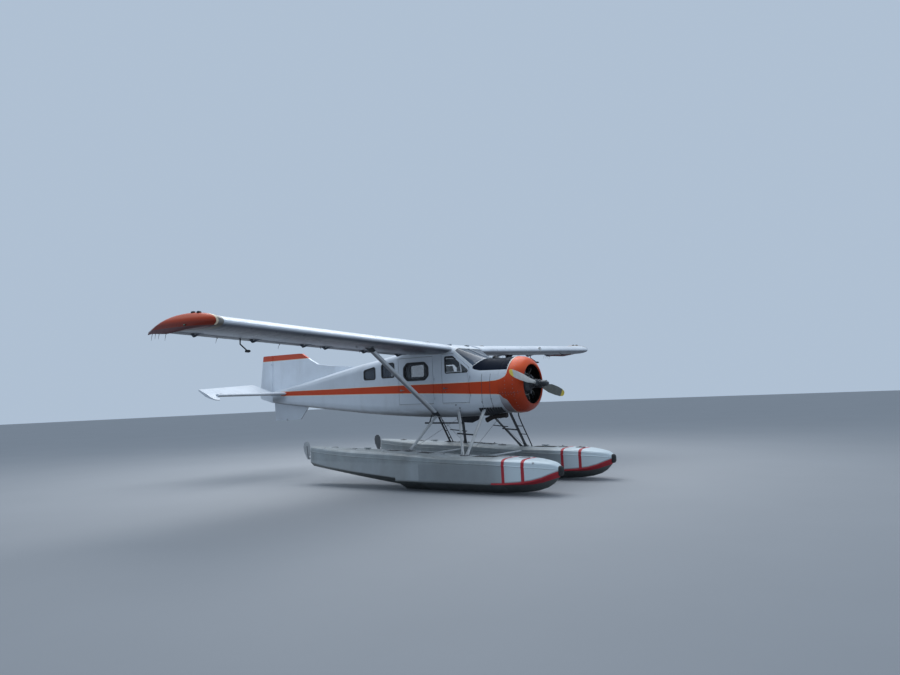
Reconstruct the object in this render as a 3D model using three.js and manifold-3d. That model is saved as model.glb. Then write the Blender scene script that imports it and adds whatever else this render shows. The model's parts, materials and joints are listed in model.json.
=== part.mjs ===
// A single-engined high-wing floatplane standing on the keels of its two floats.
// Millimetres. The drawing datum has x = 0 at the wing's leading edge, y = 0 on the
// centreline and z = 0 at the propeller shaft: +X forward, +Y to port, +Z up.
// At the end one group moves the datum so that the origin is on the floor under the middle.
import * as THREE from 'three';
import { mergeVertices } from 'three/addons/utils/BufferGeometryUtils.js';
import Module from 'manifold-3d';

const wasm = await Module();
wasm.setup();

// Driving dimensions
const GAP = 0.4;
const SPAN = 14630;
const CHORD = 1588;
const DIHEDRAL = THREE.MathUtils.degToRad(2);
const WING_Z = 870;
const WING_ROOT_Y = 640.5;
const WING_DROP = 40;
const AIRFOIL_THICKNESS = 0.155;
const AIRFOIL_CAMBER = 0.03;
const TIP_START = 6930 - WING_ROOT_Y;
const TIP_END = (SPAN / 2 - WING_ROOT_Y) / Math.cos(DIHEDRAL);
const REAR_SPAR_X = -1190;
const SHROUD_X = -1235;
const SURFACE_NOSE_X = -1234;
const HINGE_DROP = 45;
const HINGE_X = -1264;
const FLAP_ENDS = [70, 3100];
const AILERON_ENDS = [3130, TIP_START - 14];
const WALL = 45;
const FIREWALL_X = 790;
const COWL_REAR_X = 1165;
const COWL_FRONT_X = 1710;
const COWL_RADIUS = 632;
const COWL_MOUTH_RADIUS = 436;
const SHAFT_FRONT_X = 1772;
const PROP_DIAMETER = 2590;
const PROP_PLANE_X = 1842;
const PROP_REST = THREE.MathUtils.degToRad(10.6);
const HUB_FRONT_X = 2090;
const CABIN_REAR_X = -2950;
const TAIL_END_X = -6600;
const TAIL_HOLLOW_END_X = -5600;
const TAIL_WALL = 40;
const ELEVATOR_HINGE = { x: -6500, z: 60 };
const ELEVATOR_REST = THREE.MathUtils.degToRad(26);
const TAILPLANE_TIP_Y = 2150;
const TAIL_SPAN = 4830;
const RUDDER_HINGE_X = -6658;
const FIN_TOP_Z = 1158;
const FLOAT_Y = 1350;
const KEEL_Z = -2220;
const STEP_X = -850;
const STEP_DEPTH = 70;
const BOW_X = 2930;
const STERN_X = -3750;
const RUDDER_TE_X = -7205;

// Colours
const paint = {
  white: { color: 0xe4e7ea, roughness: 0.4, metalness: 0.1 },
  orange: { color: 0xd9531e, roughness: 0.35, metalness: 0.1 },
  silver: { color: 0xd3d8de, roughness: 0.35, metalness: 0.3 },
  floatGrey: { color: 0x8f979b, roughness: 0.5, metalness: 0.3 },
  strutGrey: { color: 0xb4babd, roughness: 0.45, metalness: 0.3 },
  darkMetal: { color: 0x2a2b2d, roughness: 0.6, metalness: 0.6 },
  bladeGrey: { color: 0x6f7471, roughness: 0.5, metalness: 0.4 },
  rubber: { color: 0x141414, roughness: 0.9, metalness: 0 },
  glass: { color: 0x1b232b, roughness: 0.05, metalness: 0, transparent: true, opacity: 0.5 },
  seatCloth: { color: 0x55585c, roughness: 0.9, metalness: 0 },
  panelBlack: { color: 0x1d1e20, roughness: 0.7, metalness: 0 },
};

// Solids

function solidOf(geometry) {
  const plain = geometry.clone();
  plain.deleteAttribute('normal');
  plain.deleteAttribute('uv');
  const merged = mergeVertices(plain, 1e-3);
  return new wasm.Manifold(new wasm.Mesh({
    numProp: 3,
    vertProperties: new Float32Array(merged.attributes.position.array),
    triVerts: new Uint32Array(merged.index.array),
  }));
}

function geometryOf(solid) {
  const mesh = solid.getMesh();
  const indexed = new THREE.BufferGeometry();
  indexed.setAttribute('position', new THREE.BufferAttribute(mesh.vertProperties, mesh.numProp));
  indexed.setIndex(new THREE.BufferAttribute(mesh.triVerts, 1));
  const geometry = indexed.toNonIndexed();
  geometry.computeVertexNormals();
  return geometry;
}

// A closed loft through rings of equal length, with a fan over each end ring.
function loft(rings) {
  const count = rings[0].length;
  const points = rings.flat();
  const centre = (ring) => [0, 1, 2].map((k) => ring.reduce((sum, p) => sum + p[k], 0) / count);
  points.push(centre(rings[0]), centre(rings[rings.length - 1]));
  const first = points.length - 2;
  const last = points.length - 1;
  const faces = [];
  for (let r = 0; r < rings.length - 1; r += 1) {
    for (let i = 0; i < count; i += 1) {
      const a = r * count + i;
      const b = r * count + ((i + 1) % count);
      faces.push(a, b, a + count, b, b + count, a + count);
    }
  }
  for (let i = 0; i < count; i += 1) {
    const j = (i + 1) % count;
    faces.push(first, j, i);
    const base = (rings.length - 1) * count;
    faces.push(last, base + i, base + j);
  }
  if (signedVolume(points, faces) < 0) {
    for (let f = 0; f < faces.length; f += 3) {
      [faces[f + 1], faces[f + 2]] = [faces[f + 2], faces[f + 1]];
    }
  }
  const geometry = new THREE.BufferGeometry();
  geometry.setAttribute('position', new THREE.Float32BufferAttribute(points.flat(), 3));
  geometry.setIndex(faces);
  return solidOf(geometry);
}

function signedVolume(points, faces) {
  let total = 0;
  for (let f = 0; f < faces.length; f += 3) {
    const [a, b, c] = [points[faces[f]], points[faces[f + 1]], points[faces[f + 2]]];
    total += a[0] * (b[1] * c[2] - b[2] * c[1])
      - a[1] * (b[0] * c[2] - b[2] * c[0])
      + a[2] * (b[0] * c[1] - b[1] * c[0]);
  }
  return total / 6;
}

// An outline in x and z made into a plate between two y values.
function cutPlate(outline, yLow, yHigh) {
  const shape = new THREE.Shape(outline.map(([x, z]) => new THREE.Vector2(x, z)));
  const geometry = new THREE.ExtrudeGeometry(shape, { depth: yHigh - yLow, bevelEnabled: false });
  geometry.rotateX(Math.PI / 2);
  geometry.translate(0, yHigh, 0);
  return solidOf(geometry);
}

// An outline in x and y made into a block between two heights.
function planBlock(outline, zLow, zHigh) {
  const shape = new THREE.Shape(outline.map(([x, y]) => new THREE.Vector2(x, y)));
  const geometry = new THREE.ExtrudeGeometry(shape, { depth: zHigh - zLow, bevelEnabled: false });
  geometry.translate(0, 0, zLow);
  return solidOf(geometry);
}

function box(xRange, yRange, zRange) {
  const size = [xRange, yRange, zRange].map(([low, high]) => high - low);
  const geometry = new THREE.BoxGeometry(...size);
  const middle = [xRange, yRange, zRange].map(([low, high]) => (low + high) / 2);
  geometry.translate(...middle);
  return solidOf(geometry);
}

// A round bar between two points.
function rod(from, to, radius, sides = 16, endRadius = radius) {
  const start = new THREE.Vector3(...from);
  const way = new THREE.Vector3(...to).sub(start);
  const geometry = new THREE.CylinderGeometry(endRadius, radius, way.length(), sides);
  geometry.translate(0, way.length() / 2, 0);
  const turn = new THREE.Quaternion().setFromUnitVectors(new THREE.Vector3(0, 1, 0), way.normalize());
  geometry.applyQuaternion(turn);
  geometry.translate(...from);
  return solidOf(geometry);
}

// A streamlined bar between two points, its long section axis as near fore and aft as it goes.
function streamlinedBar(from, to, chord, thickness, sides = 12) {
  const start = new THREE.Vector3(...from);
  const end = new THREE.Vector3(...to);
  const along = end.clone().sub(start).normalize();
  const across = new THREE.Vector3(1, 0, 0).addScaledVector(along, -along.x).normalize();
  const flat = new THREE.Vector3().crossVectors(along, across);
  const ring = (centre) => Array.from({ length: sides }, (unused, i) => {
    const angle = (2 * Math.PI * i) / sides;
    const point = centre.clone();
    point.addScaledVector(across, (chord / 2) * Math.cos(angle));
    point.addScaledVector(flat, (thickness / 2) * Math.sin(angle));
    return point.toArray();
  });
  return loft([ring(start), ring(end)]);
}

function mirrored(solid) {
  return solid.scale([1, -1, 1]);
}

function union(solids) {
  return solids.reduce((all, next) => all.add(next));
}

// The piece cut back from its neighbour, which is moved towards it by a small gap.
function seated(piece, neighbour, towardsPiece) {
  return piece.subtract(neighbour.translate(towardsPiece));
}

// Body sections, rounded rectangles: x, half width, bottom, top, bottom radius, top radius
const BODY = [
  [COWL_REAR_X, 620, -625, 620, 600, 600],
  [960, 626, -640, 621, 500, 590],
  [790, 632, -655, 622, 400, 560],
  [700, 634, -662, 624, 360, 530],
  [450, 638, -676, 706, 310, 490],
  [0, 640, -690, 915, 280, 150],
  [-300, 640, -690, 1006, 270, 60],
  [-700, 640, -682, 1020, 270, 60],
  [-1150, 640, -665, 955, 260, 60],
  [-1600, 640, -640, 862, 250, 130],
  [-2300, 575, -600, 772, 240, 190],
  [-2950, 505, -552, 700, 230, 210],
  [-4000, 385, -457, 540, 200, 200],
  [-5100, 262, -352, 352, 160, 170],
  [-6100, 152, -250, 195, 110, 120],
  [-6600, 88, -192, 150, 80, 80],
];

function bodySection(x) {
  const after = BODY.findIndex((row) => row[0] <= x);
  const low = BODY[after];
  if (low[0] === x || after === 0) return [...low];
  const high = BODY[after - 1];
  const t = (x - low[0]) / (high[0] - low[0]);
  return low.map((value, k) => value + t * (high[k] - value));
}

const CORNER_STEPS = 8;

function roundedRing([x, half, bottom, top, bottomRadius, topRadius], inset = 0) {
  const corners = [
    { y: 1, z: 1, radius: topRadius },
    { y: -1, z: 1, radius: topRadius },
    { y: -1, z: -1, radius: bottomRadius },
    { y: 1, z: -1, radius: bottomRadius },
  ];
  const ring = [];
  corners.forEach((corner, quarter) => {
    const radius = Math.max(corner.radius - inset, 15);
    const cy = corner.y * (half - inset - radius);
    const cz = corner.z > 0 ? top - inset - radius : bottom + inset + radius;
    for (let i = 0; i <= CORNER_STEPS; i += 1) {
      const angle = (Math.PI / 2) * (quarter + i / CORNER_STEPS);
      ring.push([x, cy + radius * Math.cos(angle), cz + radius * Math.sin(angle)]);
    }
  });
  return ring;
}

function bodyLoft(xFront, xRear, inset = 0) {
  const inner = BODY.map((row) => row[0]).filter((x) => x < xFront && x > xRear);
  return loft([xFront, ...inner, xRear].map((x) => roundedRing(bodySection(x), inset)));
}

// Cabin windows and doors: outlines in x and z on the flat sides
const CREW_DOOR = [[-310, -360], [430, -360], [430, 430], [30, 770], [-310, 770]];
const CREW_WINDOW = [[-205, 330], [388, 330], [388, 392], [8, 698], [-205, 698]];
const CABIN_DOOR = [[-1580, -360], [-560, -360], [-560, 742], [-1580, 742]];
const CABIN_WINDOW = [[-1410, 300], [-1310, 205], [-800, 205], [-700, 300], [-700, 510],
  [-800, 612], [-1310, 612], [-1410, 510]];
const REAR_WINDOWS = {
  front: [[-2140, 340], [-2110, 310], [-1750, 310], [-1720, 340], [-1720, 620], [-1750, 650],
    [-2110, 630], [-2140, 600]],
  rear: [[-2770, 320], [-2740, 290], [-2400, 290], [-2370, 320], [-2370, 550], [-2400, 580],
    [-2740, 520], [-2770, 490]],
};
const DOOR_GAP = 8;
// One half of the windshield: its plan, and the side view's line that it stays above
const WINDSHIELD = [[690, 22], [675, 150], [645, 300], [605, 410], [552, 500], [480, 575], [440, 660],
  [40, 660], [40, 22]];
const WINDSHIELD_SILL = [[760, 442], [490, 442], [60, 803], [-20, 803], [-20, 1100], [760, 1100]];

// An outline moved inwards by a distance, its corners kept on their angle bisectors.
function shrunk(outline, distance) {
  const count = outline.length;
  const area = outline.reduce((sum, [x, z], i) => {
    const [nextX, nextZ] = outline[(i + 1) % count];
    return sum + x * nextZ - nextX * z;
  }, 0);
  const side = Math.sign(area);
  const edges = outline.map(([x, z], i) => {
    const [nextX, nextZ] = outline[(i + 1) % count];
    const length = Math.hypot(nextX - x, nextZ - z);
    const normal = [(-side * (nextZ - z)) / length, (side * (nextX - x)) / length];
    return { normal, offset: normal[0] * x + normal[1] * z + distance };
  });
  return outline.map((unused, i) => {
    const a = edges[(i + count - 1) % count];
    const b = edges[i];
    const det = a.normal[0] * b.normal[1] - a.normal[1] * b.normal[0];
    return [
      (a.offset * b.normal[1] - b.offset * a.normal[1]) / det,
      (a.normal[0] * b.offset - b.normal[0] * a.offset) / det,
    ];
  });
}

// Right side cutters reach through the starboard wall only
const WALL_REACH = [-800, -300];

function wallCutter(outline) {
  return cutPlate(outline, ...WALL_REACH);
}

const cabinOuter = bodyLoft(FIREWALL_X, CABIN_REAR_X);
const cabinInner = bodyLoft(FIREWALL_X - WALL, CABIN_REAR_X + WALL, WALL);
const cabinWall = cabinOuter.subtract(cabinInner);
const windowOutlines = [REAR_WINDOWS.front, REAR_WINDOWS.rear];

// Door hinges: a vertical pin line just outside the skin at each door's front edge
const HINGE_OUT = 14;
const KNUCKLE_RADIUS = 11;
const KNUCKLE_LENGTH = 60;
const DOORS = [
  { name: 'crew_door', outline: CREW_DOOR, window: CREW_WINDOW, hingeX: 430, hingeZ: [-230, 180] },
  { name: 'cabin_door', outline: CABIN_DOOR, window: CABIN_WINDOW, hingeX: -560, hingeZ: [-280, 170] },
];

// A hinge's fixed half is the lower knuckle on the frame, the moving half the upper one on the door.
function knuckle(hingeX, z, reach) {
  const y = -(640 + HINGE_OUT);
  const barrel = rod([hingeX, y, z], [hingeX, y, z + KNUCKLE_LENGTH], KNUCKLE_RADIUS, 12);
  const xRange = reach > 0 ? [hingeX, hingeX + reach] : [hingeX + reach, hingeX];
  const leaf = box(xRange, [y - 3, -(640 - 12)], [z, z + KNUCKLE_LENGTH]);
  return barrel.add(leaf);
}

function fixedHinges(door) {
  return door.hingeZ.map((z) => knuckle(door.hingeX, z, 34));
}

function movingHinges(door) {
  return door.hingeZ.map((z) => knuckle(door.hingeX, z + KNUCKLE_LENGTH + GAP, -34));
}

function doorPanel(door) {
  const panel = cabinWall.intersect(wallCutter(shrunk(door.outline, DOOR_GAP)));
  return union([panel.subtract(wallCutter(door.window)), ...movingHinges(door)]);
}

function sidePane(outline) {
  const layer = cabinOuter.translate([0, 14, 0]).subtract(cabinOuter.translate([0, 22, 0]));
  return layer.intersect(wallCutter(shrunk(outline, GAP)));
}

function windshieldBlock(inset) {
  const plan = planBlock(shrunk(WINDSHIELD, inset), 380, 960);
  return plan.intersect(cutPlate(shrunk(WINDSHIELD_SILL, inset), 0, 700));
}

function windshieldPane() {
  const outside = bodyLoft(FIREWALL_X, CABIN_REAR_X, 4);
  const inside = bodyLoft(FIREWALL_X, CABIN_REAR_X, 14);
  return outside.subtract(inside).intersect(windshieldBlock(GAP));
}

// Wing sections in the wing's own frame: y runs out along the span from the root
function airfoilHeights(fraction) {
  const f = Math.min(Math.max(fraction, 0), 1);
  const half = (AIRFOIL_THICKNESS / 0.2)
    * (0.2969 * Math.sqrt(f) - 0.126 * f - 0.3516 * f ** 2 + 0.2843 * f ** 3 - 0.1015 * f ** 4);
  const camber = 4 * AIRFOIL_CAMBER * f * (1 - f);
  const drop = (WING_DROP * f) / CHORD;
  return { upper: camber + half - drop, lower: camber - half - drop };
}

function upperZ(x) {
  return CHORD * airfoilHeights(-x / CHORD).upper;
}

function lowerZ(x) {
  return CHORD * airfoilHeights(-x / CHORD).lower;
}

const AIRFOIL_STATIONS = [0.006, 0.02, 0.045, 0.08, 0.13, 0.2, 0.28, 0.38, 0.5, 0.65];

function wingOutline() {
  const xs = AIRFOIL_STATIONS.map((f) => -f * CHORD);
  const upper = xs.map((x) => [x, upperZ(x)]).reverse();
  const lower = xs.map((x) => [x, lowerZ(x)]);
  const shroud = [[REAR_SPAR_X, upperZ(REAR_SPAR_X) - 9], [SHROUD_X, upperZ(SHROUD_X) - 7],
    [SHROUD_X, upperZ(SHROUD_X)]];
  return [...shroud, ...upper, [0, 0], ...lower, [REAR_SPAR_X, lowerZ(REAR_SPAR_X)]];
}

// Tip sections: y from the root, leading edge x, trailing edge x, thickness share, rise of the middle
const TIP = [
  [TIP_START, 0, -CHORD, 1, 0],
  [TIP_START + 70, -8, -CHORD, 1.01, 10],
  [TIP_START + 140, -45, -CHORD, 1.03, 20],
  [TIP_START + 210, -130, -CHORD, 1.06, 26],
  [TIP_START + 270, -265, -1586, 1.07, 18],
  [TIP_START + 320, -450, -1582, 1.04, 0],
  [TIP_START + 355, -660, -1574, 0.97, -28],
  [TIP_END - 14, -860, -1560, 0.84, -60],
  [TIP_END - 5, -1010, -1540, 0.58, -72],
];

function tipRing([y, front, rear, thickness, rise]) {
  const chord = front - rear;
  const stations = [...AIRFOIL_STATIONS, 0.8, 1];
  const height = (f, key) => {
    const { upper, lower } = airfoilHeights(f);
    const middle = (upper + lower) / 2;
    return CHORD * (middle + ((key === 'upper' ? upper : lower) - middle) * thickness) + rise;
  };
  const edge = (f) => (f === 1 ? 3 : 0);
  const upper = stations.map((f) => [front - f * chord, y, height(f, 'upper') + edge(f)]).reverse();
  const lower = stations.map((f) => [front - f * chord, y, height(f, 'lower') - edge(f)]);
  return [...upper, [front, y, height(0, 'upper')], ...lower];
}

// Surface hinges: an arm under the wing carries a pin that passes through a lug on the surface
const ARM_HALF = 5;
const LUG_OFFSET = 2 * ARM_HALF + GAP;
const PIN_RADIUS = 9;
const FLAP_HINGES = [400, 1600, 2800];
const AILERON_HINGES = [3420, 4700, 5980];
const hingeZ = lowerZ(HINGE_X) - HINGE_DROP;

function wingArm(y) {
  const arm = [[-980, lowerZ(-980) + 12], [-1150, lowerZ(-1150) + 12], [HINGE_X - 10, hingeZ + 16],
    [HINGE_X - 18, hingeZ], [HINGE_X - 8, hingeZ - 16], [HINGE_X + 10, hingeZ - 16]];
  const plate = cutPlate(arm, y - ARM_HALF, y + ARM_HALF);
  const pinEnd = y + ARM_HALF + 2 * GAP + 2 * ARM_HALF;
  return plate.add(rod([HINGE_X, y, hingeZ], [HINGE_X, pinEnd, hingeZ], PIN_RADIUS - 0.6, 16));
}

function surfaceLug(y) {
  const lug = [[HINGE_X - 20, hingeZ - 10], [HINGE_X - 8, hingeZ - 19], [HINGE_X + 8, hingeZ - 19],
    [HINGE_X + 18, hingeZ - 4], [HINGE_X + 10, hingeZ + HINGE_DROP + 12],
    [HINGE_X - 110, lowerZ(HINGE_X - 110) + 12]];
  const centre = y + LUG_OFFSET;
  const plate = cutPlate(lug, centre - ARM_HALF, centre + ARM_HALF);
  const hole = rod([HINGE_X, centre - 20, hingeZ], [HINGE_X, centre + 20, hingeZ], PIN_RADIUS, 16);
  return plate.subtract(hole);
}

// The root face is upright against the body's side, though the wing is tilted up by the dihedral
function leftWing() {
  const main = cutPlate(wingOutline(), -10, TIP_START + 1);
  const tip = loft(TIP.map(tipRing));
  const arms = [...FLAP_HINGES, ...AILERON_HINGES].map(wingArm);
  const bodySide = box([-2000, 500], [-900, 0], [-900, 900])
    .rotate([-THREE.MathUtils.radToDeg(DIHEDRAL), 0, 0]);
  return union([main, tip, ...arms]).subtract(bodySide);
}

function trailingSurface([yIn, yOut], hinges) {
  const outline = [
    [-CHORD, upperZ(-CHORD) + 3], [-1440, upperZ(-1440)], [-1330, upperZ(-1330) - 3],
    [-1278, upperZ(-1278) - 17], [SURFACE_NOSE_X - 12, upperZ(SURFACE_NOSE_X) - 46],
    [SURFACE_NOSE_X, upperZ(SURFACE_NOSE_X) - 72], [SURFACE_NOSE_X - 10, lowerZ(SURFACE_NOSE_X) + 16],
    [-1275, lowerZ(-1275)], [-1440, lowerZ(-1440)], [-CHORD, lowerZ(-CHORD) - 3],
  ];
  return union([cutPlate(outline, yIn, yOut), ...hinges.map(surfaceLug)]);
}

// Float sections: x, half beam, keel, chine, shoulder, deck
const FLOAT = [
  [BOW_X, 92, -1840, -1768, -1712, -1660],
  [2870, 152, -1915, -1790, -1700, -1612],
  [2790, 205, -1998, -1822, -1694, -1580],
  [2650, 268, -2082, -1880, -1680, -1552],
  [2450, 335, -2145, -1935, -1664, -1522],
  [2200, 392, -2182, -1968, -1648, -1500],
  [1880, 430, -2205, -1992, -1630, -1492],
  [1500, 452, KEEL_Z, -2002, -1615, -1486],
  [800, 460, KEEL_Z, -2000, -1600, -1482],
  [300, 460, KEEL_Z, -2000, -1590, -1468],
  [-200, 460, KEEL_Z, -2000, -1570, -1430],
  [STEP_X, 455, KEEL_Z, -2000, -1545, -1390],
  [STEP_X - 2, 450, KEEL_Z + STEP_DEPTH, -1945, -1545, -1390],
  [-2200, 385, -1990, -1845, -1500, -1362],
  [-3100, 275, -1870, -1765, -1455, -1325],
  [-3600, 175, -1800, -1705, -1420, -1306],
  [STERN_X, 120, -1775, -1680, -1410, -1300],
];
const DECK_STEPS = 10;
const DECK_POWER = 0.5;
const KEEL_HALF = 20;

// Mooring cleats: x of each and the height of its flat top
const CLEATS = [[1250, -1440], [-2000, -1325]];

// The deck is nearly flat between rounded shoulders
function floatRing([x, half, keel, chine, shoulder, top]) {
  const deck = Array.from({ length: DECK_STEPS + 1 }, (unused, i) => {
    const angle = (Math.PI * i) / DECK_STEPS;
    const across = Math.sign(Math.cos(angle)) * Math.abs(Math.cos(angle)) ** DECK_POWER;
    const up = Math.max(Math.sin(angle), 0) ** DECK_POWER;
    return [x, FLOAT_Y + half * across, shoulder + (top - shoulder) * up];
  });
  const bottom = [[-half * 0.985, chine], [-KEEL_HALF, keel], [KEEL_HALF, keel], [half * 0.985, chine]];
  return [...deck, ...bottom.map(([across, z]) => [x, FLOAT_Y + across, z])];
}

const WATER_RUDDER = { x: -3806, z: -1560, lugs: [-1650, -1470] };

function sternLug(z) {
  const xRange = [WATER_RUDDER.x - 26, STERN_X + 30];
  return box(xRange, [FLOAT_Y - 24, FLOAT_Y + 24], [z - 6, z + 6]);
}

function cleat([x, top]) {
  const base = box([x - 40, x + 40], [FLOAT_Y - 22, FLOAT_Y + 22], [top - 120, top - 14]);
  return base.add(box([x - 95, x + 95], [FLOAT_Y - 14, FLOAT_Y + 14], [top - 22, top]));
}

function leftFloat() {
  const hull = loft(FLOAT.map(floatRing));
  return union([hull, ...WATER_RUDDER.lugs.map(sternLug), ...CLEATS.map(cleat)]);
}

const floatSolid = leftFloat();

// Struts between the body and the left float: name, top, foot, chord, thickness
const FLOAT_STRUTS = [
  { name: 'float_strut_front', top: [740, 480, -480], foot: [740, 1363, -1540], chord: 78, thickness: 36 },
  { name: 'float_strut_diagonal', top: [70, 560, -480], foot: [662, 1339, -1540], chord: 66, thickness: 32 },
  { name: 'float_strut_rear', top: [-550, 500, -600], foot: [-950, 1240, -1500], chord: 78, thickness: 36 },
];

function floatStrut({ top, foot, chord, thickness }) {
  const bar = streamlinedBar(top, foot, chord, thickness);
  const clearOfBody = seated(bar, bodyLoft(COWL_REAR_X, CABIN_REAR_X), [0, GAP, -GAP]);
  return seated(clearOfBody, floatSolid, [0, -GAP * 0.5, GAP]);
}

function wingStrut() {
  const bar = streamlinedBar([-562, 575, -600], [-512, 3000, 900], 162, 54, 20);
  const clearOfBody = seated(bar, bodyLoft(COWL_REAR_X, CABIN_REAR_X), [0, GAP, -GAP * 0.5]);
  return seated(clearOfBody, leftWingInDatum, [0, 0, -GAP]);
}

// Fin with its long fillet along the top of the body
const FIN = [
  [-2990, 640], [-3640, 682], [-4300, 735], [-4850, 812], [-5120, 950], [-5390, 1105],
  [-5450, 1143], [-5560, FIN_TOP_Z - 6], [TAIL_END_X - 6, FIN_TOP_Z], [TAIL_END_X - 6, 60],
  [-5100, 200], [-4000, 400], [-2990, 600],
];
const FIN_HALF = { base: 62, top: 30 };
const RUDDER_HALF = { base: 60, top: 34 };

// A plate on the centre line that gets thinner from height 0 up to its top.
function finBlade(outline, topZ, baseHalf, topHalf) {
  const blade = cutPlate(outline, -baseHalf, baseHalf);
  const farX = 2 * TAIL_END_X;
  const highZ = 2 * topZ;
  const highHalf = baseHalf - 2 * (baseHalf - topHalf);
  const farY = 4 * baseHalf;
  const wedge = (side) => loft([farX, 0].map((x) => [
    [x, side * baseHalf, 0],
    [x, side * highHalf, highZ],
    [x, side * farY, highZ],
    [x, side * farY, 0],
  ]));
  return blade.subtract(wedge(1)).subtract(wedge(-1));
}

// Tailplane and elevator
const TAILPLANE = {
  rootY: 60, frontRoot: -5930, frontTip: -6340, thickRoot: 96, thickTip: 70,
};

function lens(y, front, rear, thickness, z) {
  const chord = front - rear;
  const shares = [[0.02, 0.35], [0.15, 0.85], [0.45, 1], [1, 0.85]];
  const upper = shares.map(([f, t]) => [front - f * chord, y, z + (thickness / 2) * t]);
  const lower = shares.map(([f, t]) => [front - f * chord, y, z - (thickness / 2) * t]).reverse();
  return [...upper, ...lower];
}

function leftTailplane() {
  const rear = ELEVATOR_HINGE.x + 52;
  const { z } = ELEVATOR_HINGE;
  const { rootY, frontRoot, frontTip, thickRoot, thickTip } = TAILPLANE;
  return loft([
    lens(rootY, frontRoot, rear, thickRoot, z),
    lens(TAILPLANE_TIP_Y, frontTip, rear, thickTip, z),
  ]);
}

// Elevator sections at neutral: y, trailing edge behind the hinge, half thickness at the hinge
const ELEVATOR = {
  inHinge: 150, inRear: 370, rootChord: 640, tipChord: 345, hornReach: 290, nose: 42, tube: 25,
};

function elevatorHalf() {
  const { inHinge, inRear, rootChord, tipChord, hornReach, nose } = ELEVATOR;
  const tip = TAIL_SPAN / 2;
  const hornInner = TAILPLANE_TIP_Y + 12;
  const end = -rootChord - 20;
  const mainPlan = [[nose, inHinge], [nose, tip - 90], [0, tip], [-tipChord, tip],
    [-tipChord - 40, tip - 300], [-rootChord, inRear]];
  const mainProfile = [
    [nose, 0], [36, 21], [20, 35], [-20, 38], [end, 3], [end, -3], [-20, -38], [20, -35], [36, -21],
  ];
  const hornPlan = [[-20, hornInner], [hornReach - 30, hornInner], [hornReach, hornInner + 40],
    [hornReach - 20, tip - 90], [150, tip - 20], [-20, tip]];
  const hornProfile = [
    [hornReach + 30, 4], [150, 24], [36, 34], [-20, 37], [-20, -37], [36, -34], [150, -24],
    [hornReach + 30, -4],
  ];
  const main = planBlock(mainPlan, -45, 45).intersect(cutPlate(mainProfile, 0, TAIL_SPAN));
  const horn = planBlock(hornPlan, -45, 45).intersect(cutPlate(hornProfile, 0, TAIL_SPAN));
  return main.add(horn);
}

function elevator() {
  const half = elevatorHalf();
  const tube = rod([0, -ELEVATOR.inHinge - 30, 0], [0, ELEVATOR.inHinge + 30, 0], ELEVATOR.tube, 24);
  return union([half, mirrored(half), tube]);
}

// Rudder with a hinge slot at two heights, and its fixed hinges on the sternpost
const RUDDER = [
  [RUDDER_HINGE_X + 30, FIN_TOP_Z], [-7005, FIN_TOP_Z], [-7030, FIN_TOP_Z - 20], [RUDDER_TE_X, 60],
  [-7195, -30], [-7140, -70], [RUDDER_HINGE_X + 30, -190],
];
const RUDDER_HINGES = [20, 900];
const SLOT_HALF = 16;

function rudder() {
  const blade = finBlade(RUDDER, FIN_TOP_Z, RUDDER_HALF.base, RUDDER_HALF.top);
  const taper = planBlock([[RUDDER_HINGE_X + 34, 26], [RUDDER_HINGE_X + 14, 54], [RUDDER_HINGE_X - 60, 56],
    [RUDDER_TE_X - 10, 4], [RUDDER_TE_X - 10, -4], [RUDDER_HINGE_X - 60, -56], [RUDDER_HINGE_X + 14, -54],
    [RUDDER_HINGE_X + 34, -26]], -300, 1300);
  const slots = RUDDER_HINGES.map((z) => box(
    [RUDDER_HINGE_X - 40, RUDDER_HINGE_X + 60],
    [-80, 80],
    [z - SLOT_HALF, z + SLOT_HALF],
  ));
  return slots.reduce((solid, slot) => solid.subtract(slot), blade.intersect(taper));
}

function rudderHinge(z) {
  const plate = box([RUDDER_HINGE_X - 14, TAIL_END_X + 40], [-14, 14], [z - 6, z + 6]);
  const pinHalf = SLOT_HALF - GAP;
  return plate.add(rod([RUDDER_HINGE_X, 0, z - pinHalf], [RUDDER_HINGE_X, 0, z + pinHalf], 9, 12));
}

// Engine: crankcase, nose case and nine finned cylinders in one piece
const CYLINDERS = 9;
const CYLINDER_X = 1400;
const CYLINDER_TOP = 565;
const CYLINDER_RADIUS = 84;

function cylinder(index) {
  const angle = Math.PI / 2 + (2 * Math.PI * index) / CYLINDERS;
  const at = (radius) => [CYLINDER_X, radius * Math.cos(angle), radius * Math.sin(angle)];
  const barrel = rod(at(150), at(400), CYLINDER_RADIUS, 12);
  const head = rod(at(390), at(CYLINDER_TOP), CYLINDER_RADIUS + 14, 12, CYLINDER_RADIUS - 12);
  return barrel.add(head);
}

function engine() {
  const crankcase = rod([COWL_REAR_X + GAP, 0, 0], [1560, 0, 0], 245, 18);
  const noseCase = rod([1550, 0, 0], [1700, 0, 0], 190, 18, 110);
  const shaft = rod([1690, 0, 0], [SHAFT_FRONT_X - GAP, 0, 0], 62, 16);
  const cylinders = Array.from({ length: CYLINDERS }, (unused, i) => cylinder(i));
  return union([crankcase, noseCase, shaft, ...cylinders]);
}

// Cowl ring turned about the shaft: x and radius along the outside, then back along the inside
const COWL_PROFILE = [
  [COWL_REAR_X + GAP, 622], [1260, COWL_RADIUS], [1420, COWL_RADIUS], [1530, 618], [1620, 582],
  [1680, 530], [COWL_FRONT_X, 470], [COWL_FRONT_X - 4, 446], [COWL_FRONT_X - 20, COWL_MOUTH_RADIUS],
  [1640, 470], [1560, 540], [1480, 588], [1380, 604], [COWL_REAR_X + GAP, 600],
];

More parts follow.
